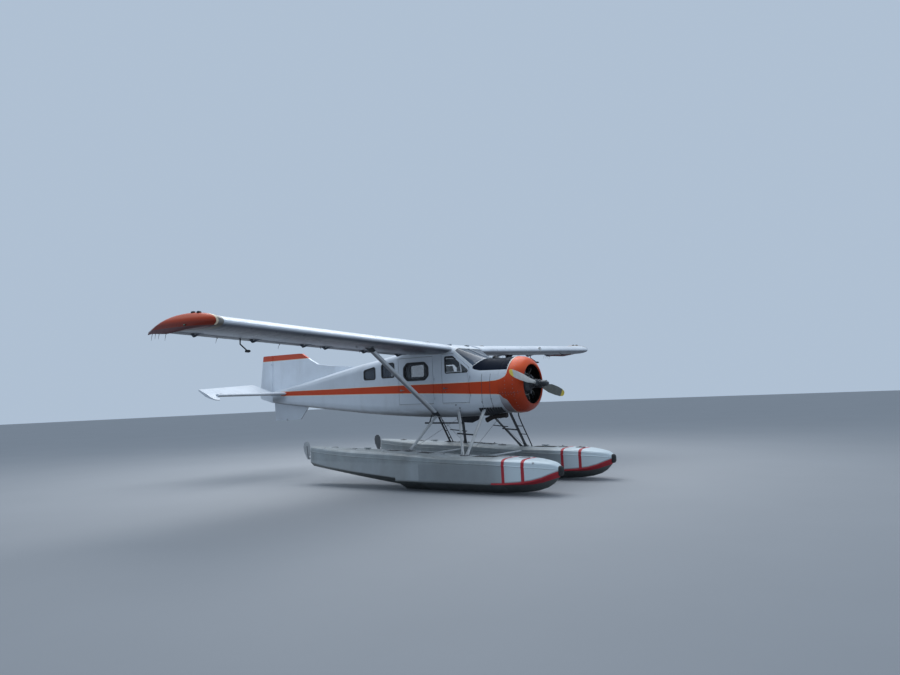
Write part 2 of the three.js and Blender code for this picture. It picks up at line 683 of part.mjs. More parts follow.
function turned(profile, sides) {
  const points = profile.map(([x, radius]) => new THREE.Vector2(radius, x));
  const geometry = new THREE.LatheGeometry([...points, points[0]], sides);
  geometry.rotateZ(-Math.PI / 2);
  return solidOf(geometry);
}

// Propeller blade sections along its radius: radius, chord, thickness, pitch angle in degrees
const BLADE = [
  [95, 84, 84, 40],
  [230, 96, 78, 40],
  [360, 160, 44, 36],
  [620, 206, 28, 27],
  [900, 206, 18, 20],
  [1130, 178, 12, 17],
  [1250, 128, 9, 15],
  [PROP_DIAMETER / 2, 60, 6, 14],
];
const BLADE_SIDES = 12;

function blade() {
  return loft(BLADE.map(([radius, chord, thickness, pitch]) => {
    const turn = THREE.MathUtils.degToRad(pitch);
    return Array.from({ length: BLADE_SIDES }, (unused, i) => {
      const angle = (2 * Math.PI * i) / BLADE_SIDES;
      const across = (chord / 2) * Math.cos(angle);
      const deep = (thickness / 2) * Math.sin(angle);
      const x = -across * Math.sin(turn) + deep * Math.cos(turn);
      const z = across * Math.cos(turn) + deep * Math.sin(turn);
      return [x, -radius, z];
    });
  }));
}

function propHub() {
  const barrel = rod([SHAFT_FRONT_X, 0, 0], [1905, 0, 0], 92, 20);
  const dome = rod([1900, 0, 0], [2040, 0, 0], 74, 20, 66);
  const cap = rod([2035, 0, 0], [HUB_FRONT_X, 0, 0], 52, 20, 30);
  const socket = rod([PROP_PLANE_X, -130, 0], [PROP_PLANE_X, 130, 0], 66, 16);
  return union([barrel, dome, cap, socket]);
}

// Exhaust collector and stack under the nose
function exhaust() {
  const log = rod([1080, -110, -672], [700, -110, -700], 62, 14);
  const stack = rod([720, -110, -700], [520, -110, -790], 50, 14, 46);
  return seated(union([log, stack]), bodyLoft(COWL_REAR_X, CABIN_REAR_X), [0, 0, -GAP]);
}

// Water rudder: a post that steers between the stern lugs, and a blade that lifts on it
const BLADE_PIVOT = { x: -3930, z: -1600 };
const POST_RADIUS = 16;
const POST_ARM_HALF = 7;
const WATER_BLADE_HALF = 4;

function waterRudderPost() {
  const [low, high] = WATER_RUDDER.lugs;
  const { x } = WATER_RUDDER;
  const y = FLOAT_Y;
  const column = rod([x, y, low + 6 + GAP], [x, y, high - 6 - GAP], POST_RADIUS, 12);
  const arm = box([BLADE_PIVOT.x - 20, x], [y - POST_ARM_HALF, y + POST_ARM_HALF],
    [BLADE_PIVOT.z - 22, BLADE_PIVOT.z + 22]);
  const pinEnd = y + POST_ARM_HALF + 2 * WATER_BLADE_HALF + 2 * GAP + 4;
  const pin = rod([BLADE_PIVOT.x, y, BLADE_PIVOT.z], [BLADE_PIVOT.x, pinEnd, BLADE_PIVOT.z], 7, 12);
  return union([column, arm, pin]);
}

function waterRudderBlade() {
  const outline = [[26, -26], [30, 30], [52, 120], [58, 260], [44, 350], [0, 402], [-70, 415],
    [-136, 375], [-162, 290], [-146, 170], [-88, 60], [-30, -26]];
  const y = POST_ARM_HALF + GAP;
  const plate = cutPlate(outline, y, y + 2 * WATER_BLADE_HALF);
  return plate.subtract(rod([0, y - 10, 0], [0, y + 30, 0], 7.6, 12));
}

// Cabin fittings, cut off just clear of the floor and walls that carry them
const cabinRoom = bodyLoft(FIREWALL_X - WALL, CABIN_REAR_X + WALL, WALL + GAP);
const UNDER_FLOOR_Z = -700;
const FRONT_SEAT_Y = 290;

function frontSeat() {
  const post = box([-180, 240], [-20, 20], [UNDER_FLOOR_Z, -260]);
  const cushion = box([-180, 240], [-215, 215], [-300, -175]);
  const back = cutPlate([[-180, -290], [-95, -290], [-215, 260], [-290, 260]], -205, 205);
  return union([post, cushion, back]).translate([0, FRONT_SEAT_Y, 0]).intersect(cabinRoom);
}

function rearBench() {
  const post = box([-1560, -1130], [-330, 330], [UNDER_FLOOR_Z, -300]);
  const cushion = box([-1560, -1130], [-520, 520], [-320, -200]);
  const back = cutPlate([[-1560, -210], [-1470, -210], [-1560, 250], [-1640, 250]], -500, 500);
  return union([post, cushion, back]).intersect(cabinRoom);
}

function instrumentPanel() {
  const face = box([520, 580], [-640, 640], [60, 440]);
  const visor = box([480, 590], [-380, 380], [420, 455]);
  return face.add(visor).intersect(cabinRoom);
}

// Assembly

const aircraft = new THREE.Group();

function piece(name, solid, look, parent = aircraft) {
  const mesh = new THREE.Mesh(geometryOf(solid), new THREE.MeshStandardMaterial(look));
  mesh.name = name;
  parent.add(mesh);
  return mesh;
}

function pair(name, leftSolid, look) {
  piece(`${name}_left`, leftSolid, look);
  piece(`${name}_right`, mirrored(leftSolid), look);
}

// Each wing's own frame is tilted up by the dihedral at its root
function wingFrame(side) {
  const group = new THREE.Group();
  group.position.set(0, side * WING_ROOT_Y, WING_Z);
  group.rotation.x = side * DIHEDRAL;
  aircraft.add(group);
  return group;
}

const wingSolid = leftWing();
const flapSolid = trailingSurface(FLAP_ENDS, FLAP_HINGES);
const aileronSolid = trailingSurface(AILERON_ENDS, AILERON_HINGES);
const leftWingInDatum = wingSolid
  .rotate([THREE.MathUtils.radToDeg(DIHEDRAL), 0, 0])
  .translate([0, WING_ROOT_Y, WING_Z]);

[['left', 1], ['right', -1]].forEach(([name, side]) => {
  const frame = wingFrame(side);
  const sided = (solid) => (side > 0 ? solid : mirrored(solid));
  piece(`wing_${name}`, sided(wingSolid), paint.silver, frame);
  piece(`flap_${name}`, sided(flapSolid), paint.silver, frame);
  piece(`aileron_${name}`, sided(aileronSolid), paint.silver, frame);
});
pair('wing_strut', wingStrut(), paint.strutGrey);

const doorCutters = DOORS.map((door) => wallCutter(door.outline));
const paneCutters = windowOutlines.map((outline) => wallCutter(outline));
const rightCutters = union([...doorCutters, ...paneCutters]);
const windshieldCutter = windshieldBlock(0);
const hinges = union(DOORS.flatMap(fixedHinges));

// Flat pads on the roof where a sling lifts the aircraft: x and the height of the flat top
const HOIST_PADS = [[-250, 1012], [-1050, 990]];
const hoistPads = union(HOIST_PADS.flatMap(([x, top]) => [-1, 1].map((side) => (
  box([x - 45, x + 45], [side * 380 - 45, side * 380 + 45], [top - 34, top])
))));
const cabinShell = cabinWall
  .subtract(rightCutters)
  .subtract(mirrored(rightCutters))
  .subtract(windshieldCutter)
  .subtract(mirrored(windshieldCutter))
  .add(hinges)
  .add(mirrored(hinges))
  .add(hoistPads);
piece('fuselage_cabin', cabinShell, paint.white);

DOORS.forEach((door) => {
  pair(door.name, mirrored(doorPanel(door)), paint.white);
  pair(`${door.name}_window`, mirrored(sidePane(door.window)), paint.glass);
});
Object.entries(REAR_WINDOWS).forEach(([place, outline]) => {
  pair(`cabin_window_${place}`, mirrored(sidePane(outline)), paint.glass);
});
pair('windshield', windshieldPane(), paint.glass);

const tailplaneSolid = leftTailplane();
const elevatorBore = rod(
  [ELEVATOR_HINGE.x, -300, ELEVATOR_HINGE.z],
  [ELEVATOR_HINGE.x, 300, ELEVATOR_HINGE.z],
  ELEVATOR.tube + 0.7,
  24,
);
const tailBody = bodyLoft(CABIN_REAR_X - GAP, TAIL_END_X);
const tailHollow = bodyLoft(CABIN_REAR_X, TAIL_HOLLOW_END_X, TAIL_WALL);
const tailSolid = union([tailBody.subtract(tailHollow), rudderHinge(RUDDER_HINGES[0])])
  .subtract(elevatorBore);
piece('fuselage_tail', tailSolid, paint.white);
const finSolid = finBlade(FIN, FIN_TOP_Z, FIN_HALF.base, FIN_HALF.top);
const finWithHinge = seated(finSolid, tailBody, [0, 0, GAP]).add(rudderHinge(RUDDER_HINGES[1]));
piece('fin', finWithHinge, paint.white);
pair('tailplane', seated(tailplaneSolid, tailBody, [0, GAP, 0]), paint.white);

const elevatorMesh = piece('elevator', elevator(), paint.white);
elevatorMesh.position.set(ELEVATOR_HINGE.x, 0, ELEVATOR_HINGE.z);
elevatorMesh.rotation.y = ELEVATOR_REST;
piece('rudder', rudder(), paint.white);

const VENTRAL = [[-5250, -330], [-5560, -670], [-6560, -690], [-6600, -180], [-5400, -300]];
piece('ventral_fin', seated(cutPlate(VENTRAL, -14, 14), tailBody, [0, 0, -GAP]), paint.white);

piece('nose_cowling', bodyLoft(COWL_REAR_X, FIREWALL_X + GAP), paint.white);
piece('engine_cowl', turned(COWL_PROFILE, 48), paint.orange);
piece('engine', engine(), paint.darkMetal);
piece('exhaust', exhaust(), paint.darkMetal);

// The propeller turns about the shaft, so its pieces share one turned group
const propeller = new THREE.Group();
propeller.rotation.x = -PROP_REST;
aircraft.add(propeller);
const hubSolid = propHub();
piece('prop_hub', hubSolid, paint.darkMetal, propeller);
const bladeSolid = blade().translate([PROP_PLANE_X, 0, 0]);
const bladeClear = seated(bladeSolid, hubSolid, [0, -GAP, 0]);
piece('prop_blade_right', bladeClear, paint.bladeGrey, propeller);
piece('prop_blade_left', bladeClear.rotate([180, 0, 0]), paint.bladeGrey, propeller);

pair('float', floatSolid, paint.floatGrey);
FLOAT_STRUTS.forEach((strut) => pair(strut.name, floatStrut(strut), paint.strutGrey));

// Spreader bars between the floats
const SPREADERS = { front: [800, -1560], rear: [-900, -1530] };
Object.entries(SPREADERS).forEach(([place, [x, z]]) => {
  const bar = streamlinedBar([x, -1150, z], [x, 1150, z], 90, 46);
  const clear = seated(seated(bar, floatSolid, [0, -GAP, 0]), mirrored(floatSolid), [0, GAP, 0]);
  piece(`spreader_bar_${place}`, clear, paint.strutGrey);
});

// Rubber bumper on each bow
const BUMPER_REACH = 70;
const bumper = loft([
  [BOW_X + GAP, 82, 100, 0],
  [BOW_X + 40, 76, 92, -3],
  [BOW_X + BUMPER_REACH - 12, 58, 72, -6],
  [BOW_X + BUMPER_REACH, 34, 44, -6],
].map(([x, half, tall, rise]) => Array.from({ length: 16 }, (unused, i) => {
  const angle = (2 * Math.PI * i) / 16;
  const squared = (value) => Math.sign(value) * Math.abs(value) ** 0.7;
  return [x, FLOAT_Y + half * squared(Math.cos(angle)), -1748 + rise + tall * squared(Math.sin(angle))];
})));
pair('bow_bumper', bumper, paint.rubber);

pair('water_rudder_post', waterRudderPost(), paint.strutGrey);
[['left', 1], ['right', -1]].forEach(([name, side]) => {
  const solid = side > 0 ? waterRudderBlade() : mirrored(waterRudderBlade());
  const mesh = piece(`water_rudder_blade_${name}`, solid, paint.strutGrey);
  mesh.position.set(BLADE_PIVOT.x, side * FLOAT_Y, BLADE_PIVOT.z);
});

pair('front_seat', frontSeat(), paint.seatCloth);
piece('rear_bench', rearBench(), paint.seatCloth);
piece('instrument_panel', instrumentPanel(), paint.panelBlack);

// The finished part stands with its keels on the floor and its origin under its middle
const part = new THREE.Group();
aircraft.position.set(-(BOW_X + BUMPER_REACH + RUDDER_TE_X) / 2, 0, -KEEL_Z);
part.add(aircraft);
part.updateMatrixWorld(true);

export default part;
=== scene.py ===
"""Dresses a high-wing floatplane: paint, rivets, glass, engine, rigging and cabin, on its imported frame."""

import json
import math

import bmesh
import bpy
from bpy.props import FloatProperty, FloatVectorProperty, PointerProperty
from mathutils import Matrix, Vector
from mathutils.bvhtree import BVHTree

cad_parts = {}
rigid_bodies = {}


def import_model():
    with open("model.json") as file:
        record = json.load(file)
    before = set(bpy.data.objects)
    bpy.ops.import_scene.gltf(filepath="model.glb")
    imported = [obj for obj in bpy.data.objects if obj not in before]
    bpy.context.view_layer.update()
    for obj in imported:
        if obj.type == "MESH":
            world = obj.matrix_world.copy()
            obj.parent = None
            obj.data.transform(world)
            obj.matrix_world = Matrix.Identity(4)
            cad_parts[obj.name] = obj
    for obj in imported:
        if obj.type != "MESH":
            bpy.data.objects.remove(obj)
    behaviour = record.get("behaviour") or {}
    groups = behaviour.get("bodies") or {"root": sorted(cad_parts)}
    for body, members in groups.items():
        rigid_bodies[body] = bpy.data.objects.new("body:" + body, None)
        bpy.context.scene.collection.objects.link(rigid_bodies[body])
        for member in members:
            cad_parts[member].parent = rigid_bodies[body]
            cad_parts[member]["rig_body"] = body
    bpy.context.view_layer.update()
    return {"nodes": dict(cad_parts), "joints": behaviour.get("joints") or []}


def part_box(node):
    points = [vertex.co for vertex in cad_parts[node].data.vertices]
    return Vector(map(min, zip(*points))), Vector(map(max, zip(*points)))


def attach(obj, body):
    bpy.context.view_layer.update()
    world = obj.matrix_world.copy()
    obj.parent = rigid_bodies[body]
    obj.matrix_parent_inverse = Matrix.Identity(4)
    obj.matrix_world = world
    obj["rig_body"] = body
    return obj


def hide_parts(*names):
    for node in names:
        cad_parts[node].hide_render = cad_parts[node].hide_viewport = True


bl_info = {
    "name": "Floatplane",
    "version": (1, 0, 0),
    "blender": (4, 5, 0),
    "location": "View3D > Sidebar > Floatplane",
    "description": "Dresses the floatplane's frame with its finishes and fittings",
    "category": "Object",
}

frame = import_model()
NODES = frame["nodes"]
JOINTS = {joint["name"]: joint for joint in frame["joints"]}

# The airframe's own datum: x 0 at the wing's leading edge, y 0 on the centre line,
# z 0 on the propeller's shaft. All places below are metres from it.
SHAFT = Vector(JOINTS["propeller_spin"]["pos_m"])
PROP_X = 1.842
DATUM = Vector((SHAFT.x - PROP_X, 0, SHAFT.z))
WING_ROOT_Y = 0.6405
WING_Z = 0.87
DIHEDRAL = math.radians(2)
CHORD = 1.588
TAILPLANE_Z = 0.06
FLOAT_Y = 1.35
FLOAT_Z = -1.75
COWL_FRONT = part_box("engine_cowl")[1].x - DATUM.x
BODY_HALF = 0.64
SIDES = (("left", 1), ("right", -1))
# The float's lines: x, half beam, then the heights of keel, chine and shoulder
HULL = (
    (2.93, 0.092, -1.840, -1.768, -1.712), (2.87, 0.152, -1.915, -1.790, -1.700),
    (2.79, 0.205, -1.998, -1.822, -1.694), (2.65, 0.268, -2.082, -1.880, -1.680),
    (2.45, 0.335, -2.145, -1.935, -1.664), (2.20, 0.392, -2.182, -1.968, -1.648),
    (1.88, 0.430, -2.205, -1.992, -1.630), (1.50, 0.452, -2.220, -2.002, -1.615),
    (0.80, 0.460, -2.220, -2.000, -1.600), (-0.20, 0.460, -2.220, -2.000, -1.570),
    (-0.85, 0.455, -2.220, -2.000, -1.545), (-0.852, 0.450, -2.150, -1.945, -1.545),
    (-2.20, 0.385, -1.990, -1.845, -1.500), (-3.10, 0.275, -1.870, -1.765, -1.455),
    (-3.60, 0.175, -1.800, -1.705, -1.420), (-3.75, 0.120, -1.775, -1.680, -1.410),
)
STEP_X = -0.851


def at(x, y, z):
    """A place in the frame, from its place on the airframe's datum."""
    return Vector((x, y, z)) + DATUM


def datum_box(node):
    """A node's lowest and highest corners, on the airframe's datum."""
    low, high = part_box(node)
    return low - DATUM, high - DATUM


def around(x, radius, turn):
    """A place on a circle about the propeller's line."""
    return at(x, radius * math.cos(turn), radius * math.sin(turn))


def turns(count, start=0.0):
    """Evenly spaced angles once round; a start of 0.5 begins half a step on."""
    return [2 * math.pi * (k + start) / count for k in range(count)]


def circle(centre, side, up, radius, sides):
    """Points round a centre, in the plane of two directions."""
    return [centre + radius * (side * math.cos(turn) + up * math.sin(turn)) for turn in turns(sides)]


class Form:
    """Collects the points and faces of one piece."""

    def __init__(self):
        self.points = []
        self.faces = []

    def add(self, points, faces):
        base = len(self.points)
        self.points += [tuple(point) for point in points]
        self.faces += [[base + index for index in face] for face in faces]

    def skin(self, rings, ends=True, loop=False):
        """Joins rings of equally many points, and closes the two ends."""
        count = len(rings[0])
        faces = []
        for i in range(len(rings) if loop else len(rings) - 1):
            here, there = i * count, ((i + 1) % len(rings)) * count
            for k in range(count):
                after = (k + 1) % count
                faces.append([here + k, here + after, there + after, there + k])
        if ends and not loop:
            last = (len(rings) - 1) * count
            faces.append(list(range(count))[::-1])
            faces.append([last + k for k in range(count)])
        self.add([point for ring in rings for point in ring], faces)

    def tube(self, path, radius, sides=10, loop=False, squash=1.0):
        """A round bar along a path; radius may be one number or one for each point."""
        path = [Vector(point) for point in path]
        radii = radius if isinstance(radius, (list, tuple)) else [radius] * len(path)
        count = len(path)
        side = None
        rings = []
        for i, point in enumerate(path):
            before = path[i - 1] if i or loop else point
            after = path[(i + 1) % count] if i < count - 1 or loop else point
            along = (after - before).normalized()
            if side is None:
                side = along.orthogonal().normalized()
            side = (side - along * side.dot(along)).normalized()
            rings.append(circle(point, side, along.cross(side) * squash, radii[i], sides))
        self.skin(rings, loop=loop)

    def lathe(self, profile, origin, axis, sides=24):
        """Turns (distance along, radius) pairs about an axis."""
        axis = Vector(axis).normalized()
        side = axis.orthogonal().normalized()
        up = axis.cross(side)
        origin = Vector(origin)
        self.skin([circle(origin + axis * along, side, up, radius, sides) for along, radius in profile])

    def slab(self, outline, place, low, high, bevel=0.0):
        """A flat plate: an outline in (u, v), its place in space, and its two faces along w."""
        levels = [(low, bevel), (low + bevel, 0), (high - bevel, 0), (high, bevel)]
        if not bevel:
            levels = [(low, 0), (high, 0)]
        self.skin([[place(u, v, w) for u, v in shrunk(outline, inset)] for w, inset in levels])

    def block(self, low, high, bevel=0.004):
        """A box with chamfered edges, from corner to corner on the datum."""
        (x0, y0, z0), (x1, y1, z1) = low, high
        outline = [
            (x0 + bevel, y0), (x1 - bevel, y0), (x1, y0 + bevel), (x1, y1 - bevel),
            (x1 - bevel, y1), (x0 + bevel, y1), (x0, y1 - bevel), (x0, y0 + bevel),
        ]
        self.slab(outline, at, z0, z1, bevel * 0.7)

    def strip(self, spots, width, height, sink=0.001):
        """A raised band along (point, normal) spots on a surface."""
        rings = []
        for i, (point, normal) in enumerate(spots):
            before = spots[max(i - 1, 0)][0]
            after = spots[min(i + 1, len(spots) - 1)][0]
            across = normal.cross(after - before).normalized() * width / 2
            rings.append([
                point - across - normal * sink,
                point - across * 0.9 + normal * height,
                point + across * 0.9 + normal * height,
                point + across - normal * sink,
            ])
        if len(rings) > 1:
            self.skin(rings)

    def stud(self, point, normal, radius, height, sides=6):
        """A low domed head, such as a rivet's or a screw's."""
        side = normal.orthogonal().normalized()
        up = normal.cross(side)
        self.skin([circle(point + normal * lift, side, up, radius * share, sides)
                   for share, lift in ((1.0, -0.0004), (0.62, height))])

    def boss(self, profile, spot, sides=18):
        """A turned fitting on a spot, or nothing where the line met no surface."""
        if spot:
            self.lathe(profile, spot[0], spot[1], sides)

    def bolt(self, point, axis, radius=0.008, height=0.007):
        """A six-sided bolt head on its washer."""
        axis = Vector(axis).normalized()
        self.lathe([(-0.001, radius * 1.45), (0.0018, radius * 1.45)], point, axis, 14)
        self.lathe([(0.0018, radius), (height, radius), (height + 0.001, radius * 0.8)], point, axis, 6)

    def build(self, name, slot, look, body="airframe", crease=32.0):
        """Makes the piece, smooth but for edges sharper than the crease, riding on a body."""
        mesh = bpy.data.meshes.new(name)
        mesh.from_pydata(self.points, [], self.faces)
        work = bmesh.new()
        work.from_mesh(mesh)
        bmesh.ops.recalc_face_normals(work, faces=work.faces)
        limit = math.radians(crease)
        for face in work.faces:
            face.smooth = True
        for edge in work.edges:
            edge.smooth = edge.is_manifold and edge.calc_face_angle(0) < limit
        work.to_mesh(mesh)
        work.free()
        mesh.materials.append(LOOKS[look])
        piece = bpy.data.objects.new(name, mesh)
        bpy.context.scene.collection.objects.link(piece)
        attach(piece, body)
        return piece


def shrunk(outline, distance):
    """An outline moved inwards, its corners kept on their angle bisectors."""
    if not distance:
        return outline
    count = len(outline)
    area = sum(
        u * outline[(i + 1) % count][1] - outline[(i + 1) % count][0] * v
        for i, (u, v) in enumerate(outline)
    )
    turn = math.copysign(1, area)
    edges = []
    for i, (u, v) in enumerate(outline):
        next_u, next_v = outline[(i + 1) % count]
        length = math.hypot(next_u - u, next_v - v) or 1e-9
        normal = (-turn * (next_v - v) / length, turn * (next_u - u) / length)
        edges.append((normal, normal[0] * u + normal[1] * v + distance))
    inner = []
    for i in range(count):
        (a, a_offset), (b, b_offset) = edges[i - 1], edges[i]
        det = a[0] * b[1] - a[1] * b[0]
        if abs(det) < 1e-6:
            inner.append((outline[i][0] + a[0] * distance, outline[i][1] + a[1] * distance))
            continue
        inner.append((
            (a_offset * b[1] - b_offset * a[1]) / det,
            (a[0] * b_offset - b[0] * a_offset) / det,
        ))
    return inner


def rounded(outline, radius, steps=5):
    """An outline with its corners turned into arcs."""
    count = len(outline)
    result = []
    for i in range(count):
        before, corner, after = (Vector(outline[(i + k) % count]) for k in (-1, 0, 1))
        back = (before - corner).normalized()
        forth = (after - corner).normalized()
        half = back.angle(forth) / 2
        cut = min(
            radius / max(math.tan(half), 1e-6),
            (before - corner).length * 0.49,
            (after - corner).length * 0.49,
        )
        real = cut * math.tan(half)
        centre = corner + (back + forth).normalized() * (real / math.sin(half))
        start, end = corner + back * cut - centre, corner + forth * cut - centre
        sweep = start.angle_signed(end)
        for k in range(steps + 1):
            point = start.copy()
            point.rotate(Matrix.Rotation(-sweep * k / steps, 2))
            result.append(tuple(centre + point))
    return result


def spread(a, b, pitch):
    """Numbers from a to b, evenly spaced by about the pitch."""
    count = max(int(round(abs(b - a) / pitch)), 1)
    return [a + (b - a) * i / count for i in range(count + 1)]


def met(spots):
    """The (point, normal) pairs of the spots that a line met."""
    return [spot[:2] for spot in spots if spot]


def along(path, pitch):
    """Points along a path of corners, evenly spaced within each leg."""
    result = []
    for start, end in zip(path, path[1:]):
        start, end = Vector(start), Vector(end)
        steps = max(int(round((end - start).length / pitch)), 1)
        result += [start.lerp(end, k / steps) for k in range(steps)]
    return result + [Vector(path[-1])]


def eased(path, per_leg=6):
    """A smooth curve through the corners of a path."""
    path = [Vector(point) for point in path]
    path = [path[0] * 2 - path[1]] + path + [path[-1] * 2 - path[-2]]
    result = []
    for p0, p1, p2, p3 in zip(path, path[1:], path[2:], path[3:]):
        for k in range(per_leg):
            t = k / per_leg
            result.append(0.5 * (
                2 * p1 + (p2 - p0) * t + (2 * p0 - 5 * p1 + 4 * p2 - p3) * t * t
                + (3 * p1 - p0 - 3 * p2 + p3) * t ** 3
            ))
    return result + [path[-2]]


class Surface:
    """The outside of some of the frame's nodes, met by straight lines."""

    def __init__(self, names):
        points, faces, self.owner = [], [], []
        for name in names:
            mesh = NODES[name].data
            base = len(points)
            points += [vertex.co.copy() for vertex in mesh.vertices]
            faces += [[base + index for index in polygon.vertices] for polygon in mesh.polygons]
            self.owner += [name] * len(mesh.polygons)
        self.tree = BVHTree.FromPolygons(points, faces)

    def meet(self, start, end):
        """(point, normal, node) where a line first meets the outside, or None."""
        start, end = Vector(start), Vector(end)
        reach = end - start
        point, normal, index, _ = self.tree.ray_cast(start, reach.normalized(), reach.length)
        if point is None:
            return None
        return point, (normal if normal.dot(reach) < 0 else -normal), self.owner[index]

    def side(self, x, z, side, depth=0.25):
        """Straight in from one side, no deeper than the skin can lie."""
        return self.meet(at(x, side * 0.9, z), at(x, side * (0.9 - depth - 0.55), z))

    def top(self, x, y, high=1.6, low=-0.2):
        return self.meet(at(x, y, high), at(x, y, low))

    def under(self, x, y, low=-1.2, high=0.2):
        return self.meet(at(x, y, low), at(x, y, high))

    def inward(self, x, turn, y=0.0, z=0.0, reach=0.9):
        """From all round towards a line along the body."""
        return self.meet(at(x, y + reach * math.cos(turn), z + reach * math.sin(turn)), at(x, y, z))


class Look:
    """A procedural finish, wired node by node around one shader."""

    def __init__(self, name, color, roughness=0.5, metallic=0.0, **sockets):
        self.material = bpy.data.materials.new(name)
        self.material.use_nodes = True
        self.tree = self.material.node_tree
        self.shader = self.tree.nodes["Principled BSDF"]
        self.color = (*color, 1.0)
        sockets.update(Base_Color=self.color, Roughness=roughness, Metallic=metallic)
        for socket, value in sockets.items():
            self.shader.inputs[socket.replace("_", " ")].default_value = value
        self.place = self.node("ShaderNodeTexCoord").outputs["Object"]
        self.axes = None
        self.relief = None

    def node(self, kind, sockets=None, **settings):
        """A new node with its settings, and its sockets filled by name or number."""
        made = self.tree.nodes.new(kind)
        for key, value in settings.items():
            setattr(made, key, value)
        for socket, value in (sockets or {}).items():
            self.put(made.inputs[socket], value)
        return made

    def put(self, socket, value):
        if isinstance(value, bpy.types.NodeSocket):
            self.tree.links.new(value, socket)
        elif value is not None:
            socket.default_value = value

    def math(self, operation, a, b=None):
        return self.node("ShaderNodeMath", {0: a, 1: b}, operation=operation).outputs[0]

    def product(self, first, *others):
        for other in others:
            first = self.math("MULTIPLY", first, other)
        return first

    def axis(self, letter):
        """The place on the airframe's datum along X, Y or Z."""
        if self.axes is None:
            moved = self.node("ShaderNodeVectorMath", {0: self.place, 1: DATUM}, operation="SUBTRACT")
            self.axes = self.node("ShaderNodeSeparateXYZ", {0: moved.outputs[0]})
        return self.axes.outputs[letter]

    def normal(self):
        return self.node("ShaderNodeNewGeometry").outputs["Normal"]

    def facing(self, letter):
        """The surface's own direction along X, Y or Z."""
        return self.node("ShaderNodeSeparateXYZ", {0: self.normal()}).outputs[letter]

    def from_axis(self, height=0.0):
        """The way to the place from a line along the body at the given height."""
        rise = self.math("SUBTRACT", self.axis("Z"), height)
        return self.node("ShaderNodeCombineXYZ", {1: self.axis("Y"), 2: rise}).outputs[0]

    def inward(self, height, start, end):
        """1 on faces that look at a line along the body, so on the inside of a shell."""
        sockets = {0: self.normal(), 1: self.from_axis(height)}
        dot = self.node("ShaderNodeVectorMath", sockets, operation="DOT_PRODUCT")
        return self.fade(dot.outputs["Value"], start, end)

    def mapped(self, value, before, after, **settings):
        """A value carried from one range onto another."""
        names = ("Value", "From Min", "From Max", "To Min", "To Max")
        sockets = dict(zip(names, (value, *before, *after)))
        return self.node("ShaderNodeMapRange", sockets, **settings).outputs["Result"]

    def fade(self, value, start, end):
        """0 at start and 1 at end, smooth between, and held beyond them."""
        after = (0, 1) if start < end else (1, 0)
        return self.mapped(value, sorted((start, end)), after, interpolation_type="SMOOTHSTEP")

    def band(self, value, low, high, soft=0.002):
        return self.product(self.fade(value, low - soft, low), self.fade(value, high + soft, high))

    def curve(self, value, points, low, high):
        """A number that follows (input, output) points in straight lines; outputs lie in low to high."""
        start, end = points[0][0], points[-1][0]
        made = self.node("ShaderNodeFloatCurve", {"Value": self.mapped(value, (start, end), (0, 1))})
        line = made.mapping.curves[0]
        while len(line.points) < len(points):
            line.points.new(0.5, 0.5)
        for dot, (x, y) in zip(line.points, points):
            dot.location = ((x - start) / (end - start), (y - low) / (high - low))
            dot.handle_type = "VECTOR"
        made.mapping.update()
        return self.mapped(made.outputs[0], (0, 1), (low, high))

    def noise(self, scale, detail=3.0, roughness=0.5, stretch=None):
        where = self.place
        if stretch:
            where = self.node("ShaderNodeMapping", {"Vector": where, "Scale": stretch}).outputs["Vector"]
        sockets = {"Vector": where, "Scale": scale, "Detail": detail, "Roughness": roughness}
        return self.node("ShaderNodeTexNoise", sockets).outputs["Fac"]

    def mix(self, amount, a, b, blend="MIX"):
        sockets = {"Factor": amount, "A": a, "B": b}
        return self.node("ShaderNodeMix", sockets, data_type="RGBA", blend_type=blend).outputs["Result"]

    def over(self, color, *masks):
        """Lays a colour over the paint so far, as far as the product of the masks says."""
        self.color = self.mix(self.product(*masks), self.color, (*color, 1.0))
        return self

    def mottle(self, scale=2.5, dark=0.9, light=1.05, stretch=None):
        """Uneven tone, as weather leaves it."""
        tone = self.mapped(self.noise(scale, 4.0, 0.6, stretch), (0.3, 0.7), (dark, light))
        self.color = self.mix(1.0, self.color, tone, "MULTIPLY")
        return self

    def specks(self, color, scale=60.0, amount=0.5, edge=0.68):
        """Small chips or splashes of another colour."""
        return self.over(color, self.fade(self.noise(scale, 5.0, 0.65), edge, edge + 0.06), amount)

    def streaks(self, color, amount=0.35, scale=5.0, low=0.45, high=0.75):
        """Long marks that run down, or along the flow."""
        marks = self.fade(self.noise(scale, 6.0, 0.6, (0.5, 1.0, 0.12)), low, high)
        return self.over(color, marks, amount)

    def gloss(self, low, high):
        """Roughness that wanders between two values."""
        shine = self.mapped(self.noise(9.0, 4.0, 0.6), (0.3, 0.7), (low, high))
        self.put(self.shader.inputs["Roughness"], shine)
        return self

    def bump(self, height, distance=0.001, strength=0.6):
        sockets = {"Strength": strength, "Distance": distance, "Height": height, "Normal": self.relief}
        self.relief = self.node("ShaderNodeBump", sockets).outputs["Normal"]
        return self

    def done(self):
        self.put(self.shader.inputs["Base Color"], self.color)
        self.put(self.shader.inputs["Normal"], self.relief)
        return self.material


